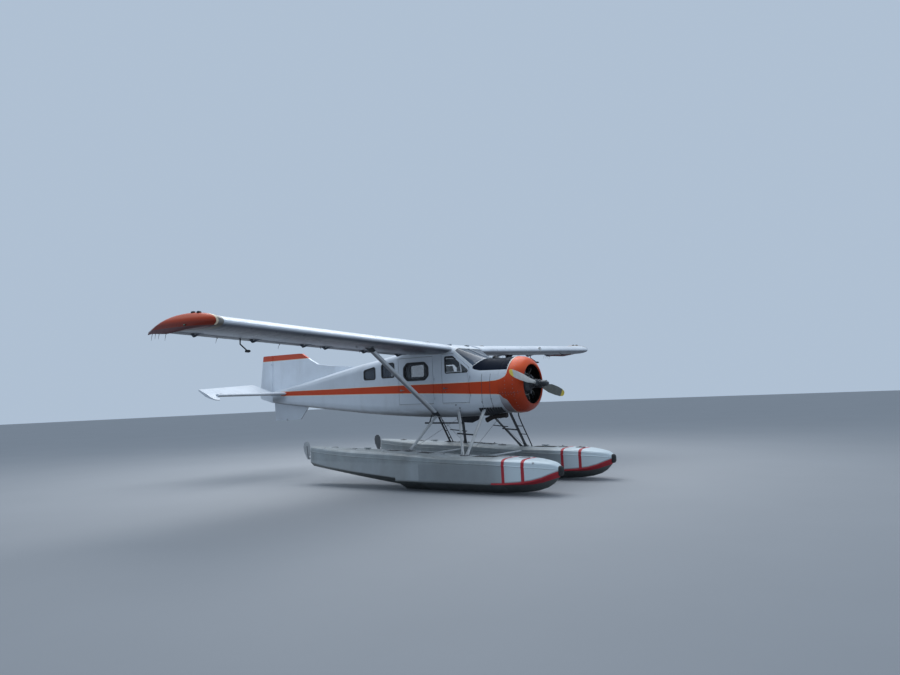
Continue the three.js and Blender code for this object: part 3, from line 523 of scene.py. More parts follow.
# The stripe's edges along the body: x, then height
STRIPE_TOP = [(-6.2, 0.110), (-4.09, 0.100), (-1.87, 0.097), (-0.1, 0.088), (0.90, 0.088),
              (1.10, 0.100), (1.227, 0.126), (1.30, 0.157), (1.349, 0.19), (1.385, 0.26),
              (1.40, 0.75), (1.75, 0.75)]
STRIPE_LOW = [(-6.2, 0.0), (-5.79, -0.008), (-4.92, -0.024), (-4.09, -0.040), (-2.57, -0.066),
              (-1.25, -0.098), (-0.1, -0.142), (0.71, -0.18), (1.1, -0.195), (1.194, -0.211),
              (1.253, -0.279), (1.338, -0.326), (1.376, -0.405), (1.40, -0.75), (1.75, -0.75)]
STRIPE_END_X = -6.2
# The black deck's edge ahead of the windshield: x, then height
DECK_EDGE = [(0.50, 0.400), (0.56, 0.372), (0.69, 0.343), (0.94, 0.339), (1.40, 0.331)]
DECK_BLACK = (0.008, 0.012, 0.022)
LEVELS = (-0.75, 0.75)
EDGE_WIDTH = 0.011
TIP_LINE_Y = 7.065
TIP_ORANGE_Y = TIP_LINE_Y + 0.022
RED_BANDS = (1.875, 2.29)
CREAM = (0.75, 0.62, 0.45)
LIT_TIP_ORANGE = (0.84, 0.19, 0.105)
LIT_COWL_ORANGE = (0.78, 0.105, 0.026)
GRIME = (0.13, 0.12, 0.10)
LINING = (0.16, 0.17, 0.17)


def in_stripe(look, grow):
    """1 inside the orange stripe's outline, made wider by the given amount."""
    x, z = look.axis("X"), look.axis("Z")
    above = look.math("SUBTRACT", z, look.curve(x, STRIPE_TOP, *LEVELS))
    below = look.math("SUBTRACT", look.curve(x, STRIPE_LOW, *LEVELS), z)
    inside = look.fade(look.math("MAXIMUM", above, below), grow + 0.001, grow)
    return look.product(inside, look.fade(x, STRIPE_END_X - 0.002, STRIPE_END_X))


def oil_canned(look, scale=2.2, distance=0.012):
    """The slight waves of thin sheet between its frames."""
    look.bump(look.noise(scale, 1.0, 0.4), distance, 0.35)
    return look.bump(look.noise(420.0, 2.0, 0.5), 0.0003, 0.25)


def body_paint(name, settings, color, deck=False, inside=None):
    look = Look(name, color, 0.36, Specular_IOR_Level=0.3).mottle(1.6, 0.93, 1.03)
    look.streaks(GRIME, 0.16 * settings.wear_and_shade, 4.0, 0.5, 0.8)
    x, z = look.axis("X"), look.axis("Z")
    # Darker low on the body: partly dirt, partly painted shade under the belly
    dirt_and_shade = look.fade(look.noise(3.0, 5.0, 0.6, (0.25, 1, 1)), 0.35, 0.7)
    look.over(GRIME, look.fade(z, -0.36, -0.62), dirt_and_shade, 0.62 * settings.wear_and_shade)
    # Painted shade: faces that look downward are darkened
    look.over((0.05, 0.052, 0.055), look.fade(look.facing("Z"), -0.50, -0.90), 0.66)
    look.over(CREAM, in_stripe(look, EDGE_WIDTH))
    look.over(settings.stripe, in_stripe(look, 0.0))
    if deck:
        above = look.math("SUBTRACT", z, look.curve(x, DECK_EDGE, 0.3, 0.45))
        mask = look.product(look.fade(above, -0.002, 0.002), look.fade(x, 0.50, 0.504),
                            look.fade(x, 1.362, 1.36))
        look.over(DECK_BLACK, mask)
        shine = look.math("SUBTRACT", 0.25, look.product(mask, 0.24))
        look.put(look.shader.inputs["Specular IOR Level"], shine)
    look.specks((0.35, 0.36, 0.37), 45.0, 0.5 * settings.wear_and_shade, 0.70)
    if inside is not None:
        look.over(LINING, inside(look))
    return oil_canned(look.gloss(0.28, 0.5))


def inside_shell(look):
    return look.product(look.inward(0.1, 0.02, -0.02), look.fade(look.axis("X"), 0.80, 0.78))


def inside_door(look):
    return look.fade(look.math("ABSOLUTE", look.axis("Y")), 0.610, 0.604)


# Plain finishes: name, colour, roughness, metal, then the values of mottle, specks and gloss
PLAIN_LOOKS = {
    "bar": ("bar_paint", (0.50, 0.53, 0.55), 0.42, 0.2, (6.0, 0.84, 1.06),
            ((0.22, 0.21, 0.19), 60.0, 0.5, 0.67), (0.35, 0.55)),
    "dark_strut": ("dark_step_paint", (0.03, 0.034, 0.04), 0.6, 0, (9.0, 0.7, 1.2),
                   ((0.20, 0.20, 0.19), 70.0, 0.35, 0.69)),
    "rubber": ("black_rubber", (0.02, 0.021, 0.023), 0.68, 0, (12.0, 0.7, 1.4),
               ((0.12, 0.12, 0.12), 90.0, 0.4, 0.68)),
    "bare": ("bare_aluminium", (0.50, 0.52, 0.54), 0.36, 0.95, (8.0, 0.85, 1.06), None, (0.24, 0.45)),
    "steel": ("dull_steel", (0.22, 0.225, 0.235), 0.45, 0.85, (14.0, 0.75, 1.15), None, (0.3, 0.55)),
    "burnt": ("burnt_steel", (0.05, 0.042, 0.040), 0.66, 0.5, (9.0, 0.6, 1.35),
              ((0.18, 0.11, 0.07), 35.0, 0.45, 0.64), (0.5, 0.8)),
    "cylinder": ("cylinder_enamel", (0.026, 0.028, 0.032), 0.55, 0.3, (18.0, 0.7, 1.4),
                 ((0.20, 0.15, 0.10), 60.0, 0.45, 0.66)),
    "crankcase": ("crankcase_enamel", (0.075, 0.082, 0.09), 0.45, 0.3, (12.0, 0.75, 1.2),
                  ((0.05, 0.04, 0.03), 45.0, 0.6, 0.62)),
    "hub": ("hub_steel", (0.07, 0.078, 0.085), 0.42, 0.7, (14.0, 0.7, 1.3),
            ((0.30, 0.30, 0.30), 50.0, 0.5, 0.68)),
    "lead": ("ignition_lead", (0.35, 0.33, 0.30), 0.5, 0.4, (40.0, 0.7, 1.2)),
    "seam": ("seam_shadow", (0.05, 0.05, 0.052), 0.7, 0, (30.0, 0.7, 1.4)),
    "trim": ("pale_frame", (0.58, 0.61, 0.63), 0.4, 0.1, (10.0, 0.88, 1.05), None, (0.3, 0.5)),
    "post": ("grey_frame", (0.15, 0.175, 0.21), 0.45, 0.1, (10.0, 0.88, 1.05)),
    "soot": ("sooty_paint", (0.018, 0.02, 0.024), 0.7, 0, (12.0, 0.6, 1.8)),
    "wire": ("wire", (0.26, 0.26, 0.27), 0.45, 0.8, (80.0, 0.7, 1.2)),
    "dial": ("dial_black", (0.02, 0.02, 0.022), 0.5, 0, (60.0, 0.8, 1.3)),
    "dial_mark": ("dial_mark", (0.7, 0.7, 0.66), 0.5, 0, (60.0, 0.9, 1.05)),
    "piping": ("seat_piping", (0.12, 0.12, 0.13), 0.6, 0, (30.0, 0.8, 1.2)),
}
# Lenses: colour, roughness, clear coat, then the values of mottle
LENSES = {
    "red_lens": ((0.20, 0.01, 0.01), 0.16, 0.6, (50.0, 0.8, 1.2)),
    "green_lens": ((0.01, 0.07, 0.03), 0.16, 0.6, (50.0, 0.8, 1.2)),
    "clear_lens": ((0.65, 0.66, 0.66), 0.08, 0.8, (50.0, 0.9, 1.05)),
}
# Glazing: tint, how much it covers, roughness
GLAZING = {
    "glass": ((0.115, 0.135, 0.165), 0.42, 0.05),
    "clear_glass": ((0.30, 0.33, 0.37), 0.13, 0.05),
    "screen": ((0.064, 0.090, 0.130), 0.90, 0.16),
}
# Soft finishes: name, colour, roughness, sheen, mottle, then the noise, depth and strength of their grain
SOFT_LOOKS = {
    "panel": ("panel_paint", (0.035, 0.037, 0.04), 0.62, 0, (20.0, 0.8, 1.3), (260.0, 2.0), 0.0005, 0.5),
    "pale_cloth": ("pale_cover", (0.90, 0.92, 0.92), 0.8, 0.3, (6.0, 0.85, 1.05), (240.0, 2.0), 0.0006,
                   0.6),
    "mat": ("cabin_mat", (0.07, 0.075, 0.08), 0.9, 0.4, (9.0, 0.7, 1.3), (300.0, 3.0), 0.002, 0.8),
}
# Painted shade: the dark blade's colour is a shaded copy of the light blade's grey
BLADE_COLORS = {"light": (0.50, 0.50, 0.48), "dark": (0.13, 0.14, 0.125)}


def tail_looks(settings, white, orange):
    tail = body_paint("tail_paint", settings, white)
    # Painted shade under the tailplane: the tail's end is darkened below it
    aft = tail.product(tail.fade(tail.axis("X"), -5.9, -6.4), tail.fade(tail.axis("Z"), 0.01, -0.10))
    tail.over((0.13, 0.135, 0.14), aft, 0.6)

    # Painted light: the fin gets a lighter copy of the body's white
    pale = tuple(min(0.92, part * 1.22) for part in white)
    fin = Look("fin_paint", pale, 0.34, Coat_Weight=0.25, Coat_Roughness=0.2).mottle(1.8, 0.93, 1.03)
    fin.streaks(GRIME, 0.14 * settings.wear_and_shade)
    fin.over(CREAM, fin.fade(fin.axis("Z"), 0.992, 0.994))
    fin.over(orange, fin.fade(fin.axis("Z"), 1.004, 1.006))

    plane = Look("tailplane_paint", white, 0.34, Coat_Weight=0.25, Coat_Roughness=0.2)
    plane.mottle(1.8, 0.94, 1.03)
    plane.streaks(GRIME, 0.12 * settings.wear_and_shade)
    # Painted shade: faces that look downward are darkened
    plane.over((0.07, 0.08, 0.10), plane.fade(plane.facing("Z"), -0.15, -0.6), 0.8)
    return {"tail": tail, "fin": oil_canned(fin.gloss(0.28, 0.5)),
            "plain_white": oil_canned(plane.gloss(0.28, 0.5))}


def cowl_look(settings, white, orange):
    cowl = body_paint("cowl_paint", settings, white, deck=True)
    x, z = cowl.axis("X"), cowl.axis("Z")
    cowl.over(CREAM, cowl.fade(x, 1.374, 1.376))
    cowl.over(orange, in_stripe(cowl, 0.0))
    cowl.over(orange, cowl.fade(x, 1.392, 1.394))
    cowl.mottle(3.5, 0.84, 1.04)
    cowl.specks((0.10, 0.05, 0.03), 30.0, 0.55, 0.66)
    # Painted shade: the cowl is darkened towards its bottom, as much as the wear setting says
    cowl.over((0.08, 0.008, 0.005), cowl.fade(z, 0.0, -0.45), 0.45 * settings.wear_and_shade)
    # Painted highlight: a lighter orange on the top of the cowl ring
    cowl.over(LIT_COWL_ORANGE, cowl.fade(x, 1.394, 1.42), cowl.fade(z, 0.24, 0.44))
    # Painted shade: the ring's inner faces behind its lip are near black
    return cowl.over((0.03, 0.03, 0.03), cowl.inward(0.0, 0.0, -0.05), cowl.fade(x, 1.70, 1.685))


def wing_look(settings, silver, orange):
    wing = Look("wing_paint", silver, 0.36, 0.25, Specular_IOR_Level=0.3)
    wing.mottle(2.2, 0.93, 1.04, (0.4, 1, 1)).streaks(GRIME, 0.1 * settings.wear_and_shade, 3.0)
    x, span = wing.axis("X"), wing.math("ABSOLUTE", wing.axis("Y"))
    rise = wing.product(wing.math("SUBTRACT", span, WING_ROOT_Y), math.tan(DIHEDRAL))
    height = wing.math("SUBTRACT", wing.math("SUBTRACT", wing.axis("Z"), rise), WING_Z)
    upper = wing.fade(height, -0.045, -0.043)
    # Painted shade on the wing's underside
    wing.over((0.20, 0.215, 0.25), wing.fade(height, 0.015, -0.055), 0.78)
    # Painted dark reflection along the front of the underside
    wing.over((0.055, 0.060, 0.078), wing.fade(x, -0.95, -0.25), wing.fade(height, 0.0, -0.055), 0.84)
    # Painted shade: a dark band along the underside of the trailing edge
    wing.over((0.035, 0.045, 0.06), wing.fade(x, -1.10, -1.22), wing.fade(height, 0.03, 0.0), 0.85)
    wing.over((0.14, 0.11, 0.07), wing.band(span, TIP_LINE_Y - 0.075, TIP_LINE_Y), 0.75)
    wing.over(CREAM, wing.fade(span, TIP_LINE_Y - 0.001, TIP_LINE_Y), upper)
    beyond = wing.fade(span, TIP_ORANGE_Y, TIP_ORANGE_Y + 0.001)
    tip = wing.product(beyond, upper)
    wing.over(orange, tip)
    # Painted highlight: a lighter orange on the top of the tip
    wing.over(LIT_TIP_ORANGE, tip, wing.fade(height, 0.06, 0.12))
    # Painted shade: the tip's orange darkens towards its lower side
    wing.over((0.10, 0.008, 0.004), tip, wing.fade(height, 0.085, 0.0), 0.78)
    # Painted shade: the tip's underside beyond the line is a dark, dull copy of its orange
    wing.over((0.115, 0.048, 0.05), beyond, wing.math("SUBTRACT", 1.0, upper))
    wing.put(wing.shader.inputs["Metallic"], wing.mapped(tip, (0, 1), (0.25, 0.0)))
    return oil_canned(wing.gloss(0.26, 0.42), 1.6, 0.008)


def float_look(settings, grey, red):
    hull = Look("float_paint", grey, 0.45, 0.15).mottle(2.5, 0.82, 1.08)
    hull.streaks((0.16, 0.15, 0.12), 0.4 * settings.wear_and_shade, 3.0, 0.4, 0.75)
    x, z = hull.axis("X"), hull.axis("Z")
    side = hull.fade(z, -1.60, -1.66)
    hull.over((0.50, 0.53, 0.55), side, 0.25)
    lines = [(x_line, chine_z) for x_line, _, _, chine_z, _ in HULL[::-1]]
    over_chine = hull.math("SUBTRACT", z, hull.curve(x, lines, -2.3, -1.6))
    hull.over((0.05, 0.055, 0.05), hull.fade(over_chine, 0.03, -0.01), 0.85)
    # Painted highlight: the side above the chine grows paler towards the bow
    hull.over((0.66, 0.75, 0.79), hull.fade(x, 1.45, 2.2), hull.fade(over_chine, 0.03, 0.05), 0.85)
    hull.over((0.17, 0.19, 0.20), hull.band(x, -0.2, 1.84), side, 0.45)
    band = hull.curve(x, [(1.6, 0.012), (2.0, 0.03), (2.6, 0.075), (2.95, 0.10)], 0.0, 0.2)
    keel_line = hull.product(hull.fade(hull.math("ADD", over_chine, band), -0.002, 0.002),
                             hull.fade(over_chine, 0.022, 0.018))
    hull.over(red, keel_line, hull.fade(x, 1.60, 1.605))
    for middle in RED_BANDS:
        hull.over(red, hull.band(x, middle - 0.032, middle + 0.032), hull.fade(over_chine, 0.0, 0.01))
    hull.specks((0.30, 0.31, 0.31), 28.0, 0.6, 0.66)
    return oil_canned(hull.gloss(0.38, 0.62), 3.0, 0.006)


def strut_looks(settings):
    strut = Look("strut_paint", (0.44, 0.46, 0.47), 0.42, 0.2).mottle(6.0, 0.84, 1.06)
    # Painted shade: faces that look in towards the centre line are darkened
    outward = strut.product(strut.facing("Y"), strut.math("SIGN", strut.axis("Y")))
    strut.over((0.045, 0.05, 0.058), strut.fade(outward, 0.25, -0.25), 0.85)
    strut.specks((0.22, 0.21, 0.19), 60.0, 0.5, 0.67)
    brace = Look("wing_strut_paint", (0.34, 0.36, 0.38), 0.42, 0.1).mottle(5.0, 0.82, 1.08)
    ahead = brace.facing("X")
    # Painted highlight on the faces that look forward
    brace.over((0.80, 0.84, 0.88), brace.fade(ahead, 0.08, 0.30), 0.85)
    # Painted shade on the faces that look back
    brace.over((0.12, 0.13, 0.16), brace.fade(ahead, 0.14, -0.05), 0.8)
    brace.streaks(GRIME, 0.2 * settings.wear_and_shade)
    return {"strut": strut.gloss(0.35, 0.55), "wing_strut": brace.gloss(0.35, 0.55)}


def glazing_look(key, tint, cover, rough):
    glass = Look(f"{key}_acrylic", tint, rough, Alpha=cover, IOR=1.49, Specular_IOR_Level=0.3)
    glass.mottle(3.0, 0.85, 1.15).gloss(rough * 0.7, rough * 1.4)
    if key == "screen":
        # Painted reflection: the windshield darkens towards its rear and top
        shade = glass.fade(glass.math("SUBTRACT", glass.axis("X"), glass.axis("Z")), -0.55, 0.05)
        glass.over((0.035, 0.045, 0.06), glass.math("SUBTRACT", 1.0, shade), 0.55)
    return glass


def cloth_look():
    cloth = Look("seat_cloth", (0.30, 0.31, 0.33), 0.85, Sheen_Weight=0.35, Sheen_Roughness=0.5)
    cloth.mottle(5.0, 0.8, 1.1)
    waves = [cloth.node("ShaderNodeTexWave", {"Vector": cloth.place, "Scale": 160.0},
                        wave_type="BANDS", bands_direction=way).outputs["Fac"] for way in "ZY"]
    weave = cloth.product(*waves)
    return cloth.over((0.18, 0.19, 0.21), weave, 0.35).bump(weave, 0.0006, 0.7)


def blade_look(side, color):
    blade = Look(f"blade_{side}", color, 0.42, 0.35).mottle(7.0, 0.82, 1.1)
    blade.specks((0.62, 0.62, 0.62), 55.0, 0.5, 0.66)
    reach = blade.node("ShaderNodeVectorMath", {0: blade.from_axis()}, operation="LENGTH")
    blade.over((0.72, 0.55, 0.06), blade.fade(reach.outputs["Value"], 1.145, 1.147))
    return blade.gloss(0.34, 0.55)


def make_looks(settings):
    """Every finish of the aircraft, by name."""
    white, orange = settings.white, settings.stripe
    looks = {
        "shell": body_paint("shell_paint", settings, white, deck=True, inside=inside_shell),
        "door": body_paint("door_paint", settings, white, inside=inside_door),
        "nose": body_paint("nose_paint", settings, white, deck=True),
        "cowl": cowl_look(settings, white, orange),
        "wing": wing_look(settings, settings.silver, orange),
        "float": float_look(settings, settings.float_grey, settings.red),
        "cloth": cloth_look(),
        **tail_looks(settings, white, orange),
        **strut_looks(settings),
    }
    for key, (name, color, rough, metal, tone, *rest) in PLAIN_LOOKS.items():
        looks[key] = Look(name, color, rough, metal).mottle(*tone)
        chips, shine = (*rest, None, None)[:2]
        if chips:
            looks[key].specks(*chips)
        if shine:
            looks[key].gloss(*shine)
    for key, (color, rough, coat, tone) in LENSES.items():
        looks[key] = Look(key, color, rough, Coat_Weight=coat).mottle(*tone)
    for key, (name, color, rough, sheen, tone, grain, depth, strength) in SOFT_LOOKS.items():
        looks[key] = Look(name, color, rough, Sheen_Weight=sheen).mottle(*tone)
        looks[key].bump(looks[key].noise(*grain), depth, strength)
    for key, values in GLAZING.items():
        looks[key] = glazing_look(key, *values)
    for side, color in BLADE_COLORS.items():
        looks[f"blade_{side}"] = blade_look(side, color)
    return {key: look.done() for key, look in looks.items()}


LOOKS = {}
# Each painted node's finish, and each finish's slot
FINISH = {}
FINISH_SLOTS = {"shell": "airframe_white", "door": "airframe_white", "tail": "airframe_white",
                "plain_white": "airframe_white", "fin": "airframe_white", "nose": "nose_white",
                "cowl": "cowl_orange", "wing": "wing_silver", "float": "float_grey"}
BODY_NODES = ["fuselage_cabin", "fuselage_tail", "nose_cowling", "crew_door_left", "crew_door_right",
              "cabin_door_left", "cabin_door_right"]
WING_NODES = ["wing_left", "wing_right", "flap_left", "flap_right", "aileron_left", "aileron_right"]
RIVET_RADIUS = 0.0042
RIVET_HEIGHT = 0.0016


def home_of(node):
    """The body a node rides on, and its finish."""
    return NODES[node]["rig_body"], FINISH[node]


class Riveting:
    """Rivets and lap strips, gathered for each body and finish."""

    def __init__(self, name):
        self.name = name
        self.studs = {}
        self.laps = {}

    def stud(self, spot, radius=RIVET_RADIUS, sides=6):
        if spot is None:
            return
        point, normal, node = spot
        self.studs.setdefault(home_of(node), Form()).stud(point, normal, radius, RIVET_HEIGHT, sides)

    def lap(self, spots, width=0.024, height=0.0012):
        """A strip along the spots, broken where they miss or change body or finish."""
        run = []
        for spot in list(spots) + [None]:
            if spot is not None and (not run or (
                home_of(spot[2]) == home_of(run[-1][2]) and (spot[0] - run[-1][0]).length < 0.25
            )):
                run.append(spot)
                continue
            if len(run) > 1:
                form = self.laps.setdefault(home_of(run[0][2]), Form())
                form.strip([(point, normal) for point, normal, _ in run], width, height)
            run = [spot] if spot is not None else []

    def build(self):
        for kind, forms, crease in (("rivets", self.studs, 60), ("laps", self.laps, 32)):
            for (body, finish), form in forms.items():
                form.build(f"{self.name}_{kind}_{finish}_{body}", FINISH_SLOTS[finish], finish, body,
                           crease)


def assign(node, look):
    """Gives a frame node its finish, with smooth curves and crisp edges."""
    piece = NODES[node]
    piece.data.materials.clear()
    piece.data.materials.append(look)
    for polygon in piece.data.polygons:
        polygon.use_smooth = True
    weld = piece.modifiers.new("join_points", "WELD")
    weld.merge_threshold = 0.00002
    split = piece.modifiers.new("crisp_edges", "EDGE_SPLIT")
    split.split_angle = math.radians(27)
    piece.modifiers.new("even_shading", "WEIGHTED_NORMAL").keep_sharp = True


# The finish of each node, or of each pair of nodes by its common name; doors and panes apart
NODE_LOOKS = {
    "fuselage_cabin": "shell", "fuselage_tail": "tail", "nose_cowling": "nose", "fin": "fin",
    "rudder": "fin",
    "elevator": "plain_white", "ventral_fin": "plain_white", "tailplane": "plain_white",
    "engine_cowl": "cowl",
    "exhaust": "burnt", "engine": "crankcase", "instrument_panel": "panel", "rear_bench": "cloth",
    "front_seat": "cloth", "prop_hub": "hub", "prop_blade_left": "blade_dark",
    "prop_blade_right": "blade_light",
    "spreader_bar": "bar", "wing_strut": "wing_strut", "wing": "wing", "flap": "wing", "aileron": "wing",
    "float": "float", "bow_bumper": "rubber",
}


def paint_nodes(settings):
    LOOKS.update(make_looks(settings))
    for node in NODES:
        if "windshield" in node:
            look = "screen"
        elif "window" in node:
            look = "clear_glass" if "door" in node else "glass"
        elif "door" in node:
            look = "door"
        else:
            look = NODE_LOOKS.get(node) or NODE_LOOKS.get(node.rsplit("_", 1)[0], "strut")
        assign(node, LOOKS[look])
        FINISH[node] = look


def ring_spot(surface, x, degrees, middle=0.05):
    spot = surface.inward(x, math.radians(degrees), 0, middle, 1.3)
    if spot is None or (spot[0] - at(x, 0, middle)).length < 0.04:
        return None
    return spot


def under_wing_root(spot):
    """True where the wing's root covers the body's side."""
    place = spot[0] - DATUM
    return -CHORD - 0.01 < place.x < 0.02 and place.z > 0.77 and abs(place.y) > 0.6


def rivet_body(pitch):
    surface = Surface(BODY_NODES)
    work = Riveting("skin")
    laps = (-0.42, -1.64, -2.24, -2.962, -3.42, -3.9, -4.4, -4.9, -5.4, -5.95, -6.35)
    plain = (1.12, 0.79, 0.62, -1.92, -2.58, -3.18, -3.66, -4.15, -4.65, -5.15)
    for x in laps + plain:
        doors_here = -1.6 < x < 0.45
        scale = max(0.12, 1 + min(0, x + 1.6) * 0.17)
        step = math.degrees(pitch / (0.66 * scale))
        degrees = spread(0, 360, step)
        def bare(spot):
            """The spot, but for one under the wing's root or on a door."""
            hidden = spot is None or under_wing_root(spot) or (doors_here and "door" in spot[2])
            return None if hidden else spot

        for offset in ((-0.011, 0.011) if x in laps else (0.0,)):
            for turn in degrees:
                work.stud(bare(ring_spot(surface, x + offset, turn)))
        if x in laps:
            work.lap([bare(ring_spot(surface, x, turn)) for turn in degrees], 0.042, 0.0011)
    rows = (
        ((1.12, 0.2), (0.80, 0.2)), ((1.12, -0.36), (0.80, -0.36)),
        ((0.77, 0.22), (0.47, 0.22)), ((0.77, -0.36), (0.47, -0.36)), ((0.77, -0.08), (0.47, -0.08)),
        ((0.60, -0.42), (-1.62, -0.42)), ((0.60, -0.52), (-2.9, -0.41)),
        ((-0.34, 0.2), (-0.54, 0.2)), ((-0.34, 0.66), (-0.54, 0.66)), ((-0.34, -0.1), (-0.54, -0.1)),
        ((-1.66, 0.19), (-2.94, 0.2)), ((-1.66, -0.18), (-2.94, -0.14)), ((-1.66, 0.72), (-2.94, 0.60)),
        ((-2.98, 0.36), (-5.9, 0.13)), ((-2.98, 0.02), (-6.4, 0.0)), ((-2.98, -0.28), (-6.4, -0.08)),
        ((-2.98, -0.44), (-6.0, -0.17)), ((-2.98, 0.58), (-5.0, 0.27)),
    )
    for (x0, z0), (x1, z1) in rows:
        for side in (1, -1):
            for x in spread(x0, x1, pitch):
                z = z0 + (z1 - z0) * (x - x0) / (x1 - x0)
                spot = surface.side(x, z, side)
                if spot and not under_wing_root(spot):
                    work.stud(spot)
    for y in (-0.3, -0.1, 0.1, 0.3):
        for x in spread(0.7, -2.9, pitch):
            work.stud(surface.under(x, y * (1 + min(0, x) * 0.1)))
        for x in spread(-0.1, -2.9, pitch):
            work.stud(surface.top(x, y * 1.25 * (1 + min(0, x + 1.5) * 0.1)))
    crease = [(-2.98, 0.625), (-4.0, 0.455), (-5.1, 0.262), (-5.9, 0.175)]
    for side in (1, -1):
        path = along([(x, z, 0) for x, z in crease], 0.1)
        work.lap([surface.side(p.x, p.y, side) for p in path], 0.034, 0.003)
        path = along([(0.60, -0.47, 0), (-1.62, -0.475, 0)], 0.1)
        work.lap([surface.side(p.x, p.y, side) for p in path], 0.03, 0.0014)
    work.build()

    doors = Riveting("door_frame")
    for x0, x1, z0, z1 in ((-0.275, 0.395, -0.325, 0.27), (-1.545, -0.6, -0.325, 0.13)):
        frame_path = [(x0, z0, 0), (x1, z0, 0), (x1, z1, 0), (x0, z1, 0), (x0, z0, 0)]
        for side in (1, -1):
            for point in along(frame_path, pitch):
                doors.stud(surface.side(point.x, point.y, side), 0.0038)
            for point in along([(x0, z0 + 0.12, 0), (x1, z0 + 0.12, 0)], pitch):
                doors.stud(surface.side(point.x, point.y, side), 0.0038)
    doors.build()

    seam = Form()
    for x in (0.754, 0.965):
        spots = [ring_spot(surface, x, turn) for turn in spread(-200, 20, 4)]
        seam.strip(met(spots), 0.009, 0.002)
    seam.build("nose_seams", "airframe_white", "seam")


def wing_spot(surface, x, y, side, upper):
    ends = (at(x, side * y, 1.5), at(x, side * y, 0.6))
    return surface.meet(*(ends if upper else ends[::-1]))


def rivet_wings(pitch):
    surface = Surface(WING_NODES)
    work = Riveting("wing")
    for side in (1, -1):
        for upper in (True, False):
            def hit(x, y):
                return wing_spot(surface, x, y, side, upper)

            for y in spread(0.72, 6.84, 0.306):
                for x in spread(-0.03, -1.17, pitch) + spread(-1.30, -1.56, pitch * 1.3):
                    work.stud(hit(x, y))
            for x in (-0.235, -0.60, -1.165):
                for y in spread(0.68, 6.90, pitch):
                    work.stud(hit(x, y))
            for x in (-1.315, -1.555):
                for y in spread(0.76, 6.88, pitch * 1.3):
                    spot = hit(x, y)
                    if spot and "wing" not in spot[2]:
                        work.stud(spot)
            for x in (-0.25, -0.62):
                work.lap([hit(x, y) for y in spread(0.66, 6.91, 0.25)], 0.03, 0.0011)
            for y in (2.55, 4.7, 6.80):
                work.lap([hit(x, y) for x in spread(-0.012, -1.18, 0.06)], 0.034, 0.0012)
    work.build()


def rivet_tail(pitch):
    surface = Surface(["fin", "rudder", "tailplane_left", "tailplane_right", "ventral_fin"])
    work = Riveting("tail")
    for side in (1, -1):
        rows = [(x, z) for z in spread(0.3, 1.1, 0.16) for x in spread(-5.3, -7.14, pitch)]
        rows += [(x, z) for x in (-5.62, -6.05, -6.52, -6.78, -7.1) for z in spread(-0.12, 1.14, pitch)]
        for x, z in rows:
            work.stud(surface.side(x, z, side))
        work.lap([surface.side(-5.60, z, side) for z in spread(0.25, 1.14, 0.06)], 0.03, 0.001)
        rows = [(x, y) for y in spread(0.22, 2.13, 0.24) for x in spread(-6.02 - 0.19 * y, -6.43, pitch)]
        for share in (0.30, 0.92):
            for y in spread(0.14, 2.12, pitch):
                front = -5.93 - 0.19 * y
                rows.append((front + (-6.448 - front) * share, y))
        for x, y in rows:
            for high in (1, -1):
                work.stud(surface.meet(at(x, side * y, TAILPLANE_Z + 0.4 * high),
                                       at(x, side * y, TAILPLANE_Z)))
    work.build()


CREW_WINDOW = [(-0.205, 0.33), (0.388, 0.33), (0.388, 0.392), (0.008, 0.698), (-0.205, 0.698)]
CABIN_WINDOW = [(-1.41, 0.30), (-1.31, 0.205), (-0.80, 0.205), (-0.70, 0.30), (-0.70, 0.51),
                (-0.80, 0.612), (-1.31, 0.612), (-1.41, 0.51)]
REAR_WINDOWS = (
    [(-2.14, 0.34), (-2.11, 0.31), (-1.75, 0.31), (-1.72, 0.34), (-1.72, 0.62), (-1.75, 0.65),
     (-2.11, 0.63), (-2.14, 0.60)],
    [(-2.77, 0.32), (-2.74, 0.29), (-2.40, 0.29), (-2.37, 0.32), (-2.37, 0.55), (-2.40, 0.58),
     (-2.74, 0.52), (-2.77, 0.49)],
)


def pane_edge(node, facing):
    """The edge of a pane's outer face, as (point, normal) spots in order."""
    work = bmesh.new()
    work.from_mesh(NODES[node].data)
    bmesh.ops.remove_doubles(work, verts=work.verts, dist=0.0001)
    seed = max(work.faces, key=lambda face: face.normal.dot(facing) * face.calc_area())
    outer, fresh = {seed}, [seed]
    while fresh:
        face = fresh.pop()
        for edge in face.edges:
            for other in edge.link_faces:
                if other not in outer and other.normal.dot(face.normal) > 0.5:
                    outer.add(other)
                    fresh.append(other)
    links = {}
    normals = {}
    for edge in work.edges:
        inside = [face for face in edge.link_faces if face in outer]
        if len(inside) == 1:
            a, b = edge.verts
            for vertex, other in ((a, b), (b, a)):
                links.setdefault(vertex, []).append(other)
                normals[vertex] = normals.get(vertex, Vector()) + inside[0].normal
    first = max(links, key=lambda vertex: vertex.co.x)
    path, last = [first], None
    while True:
        after = [vertex for vertex in links[path[-1]] if vertex is not last and vertex is not path[-1]]
        last = path[-1]
        if not after or after[0] is first or len(path) > len(links):
            break
        path.append(after[0])
    spots = [(vertex.co.copy(), normals[vertex].normalized()) for vertex in path]
    work.free()
    return spots + spots[:1]


def seal_spots(surface, outline, side, radius, grow):
    """Spots round a window's edge, whose depth is taken from the skin just outside it."""
    outer = rounded(shrunk(outline, -0.022), radius)
    edge = rounded(shrunk(outline, -grow), radius)
    spots = []
    for (x_out, z_out), (x, z) in zip(outer, edge):
        hit = surface.side(x_out, z_out, side)
        if hit is None:
            continue
        point = hit[0].copy()
        point.x, point.z = x + DATUM.x, z + DATUM.z
        spots.append((point, hit[1]))
    return spots + spots[:2]


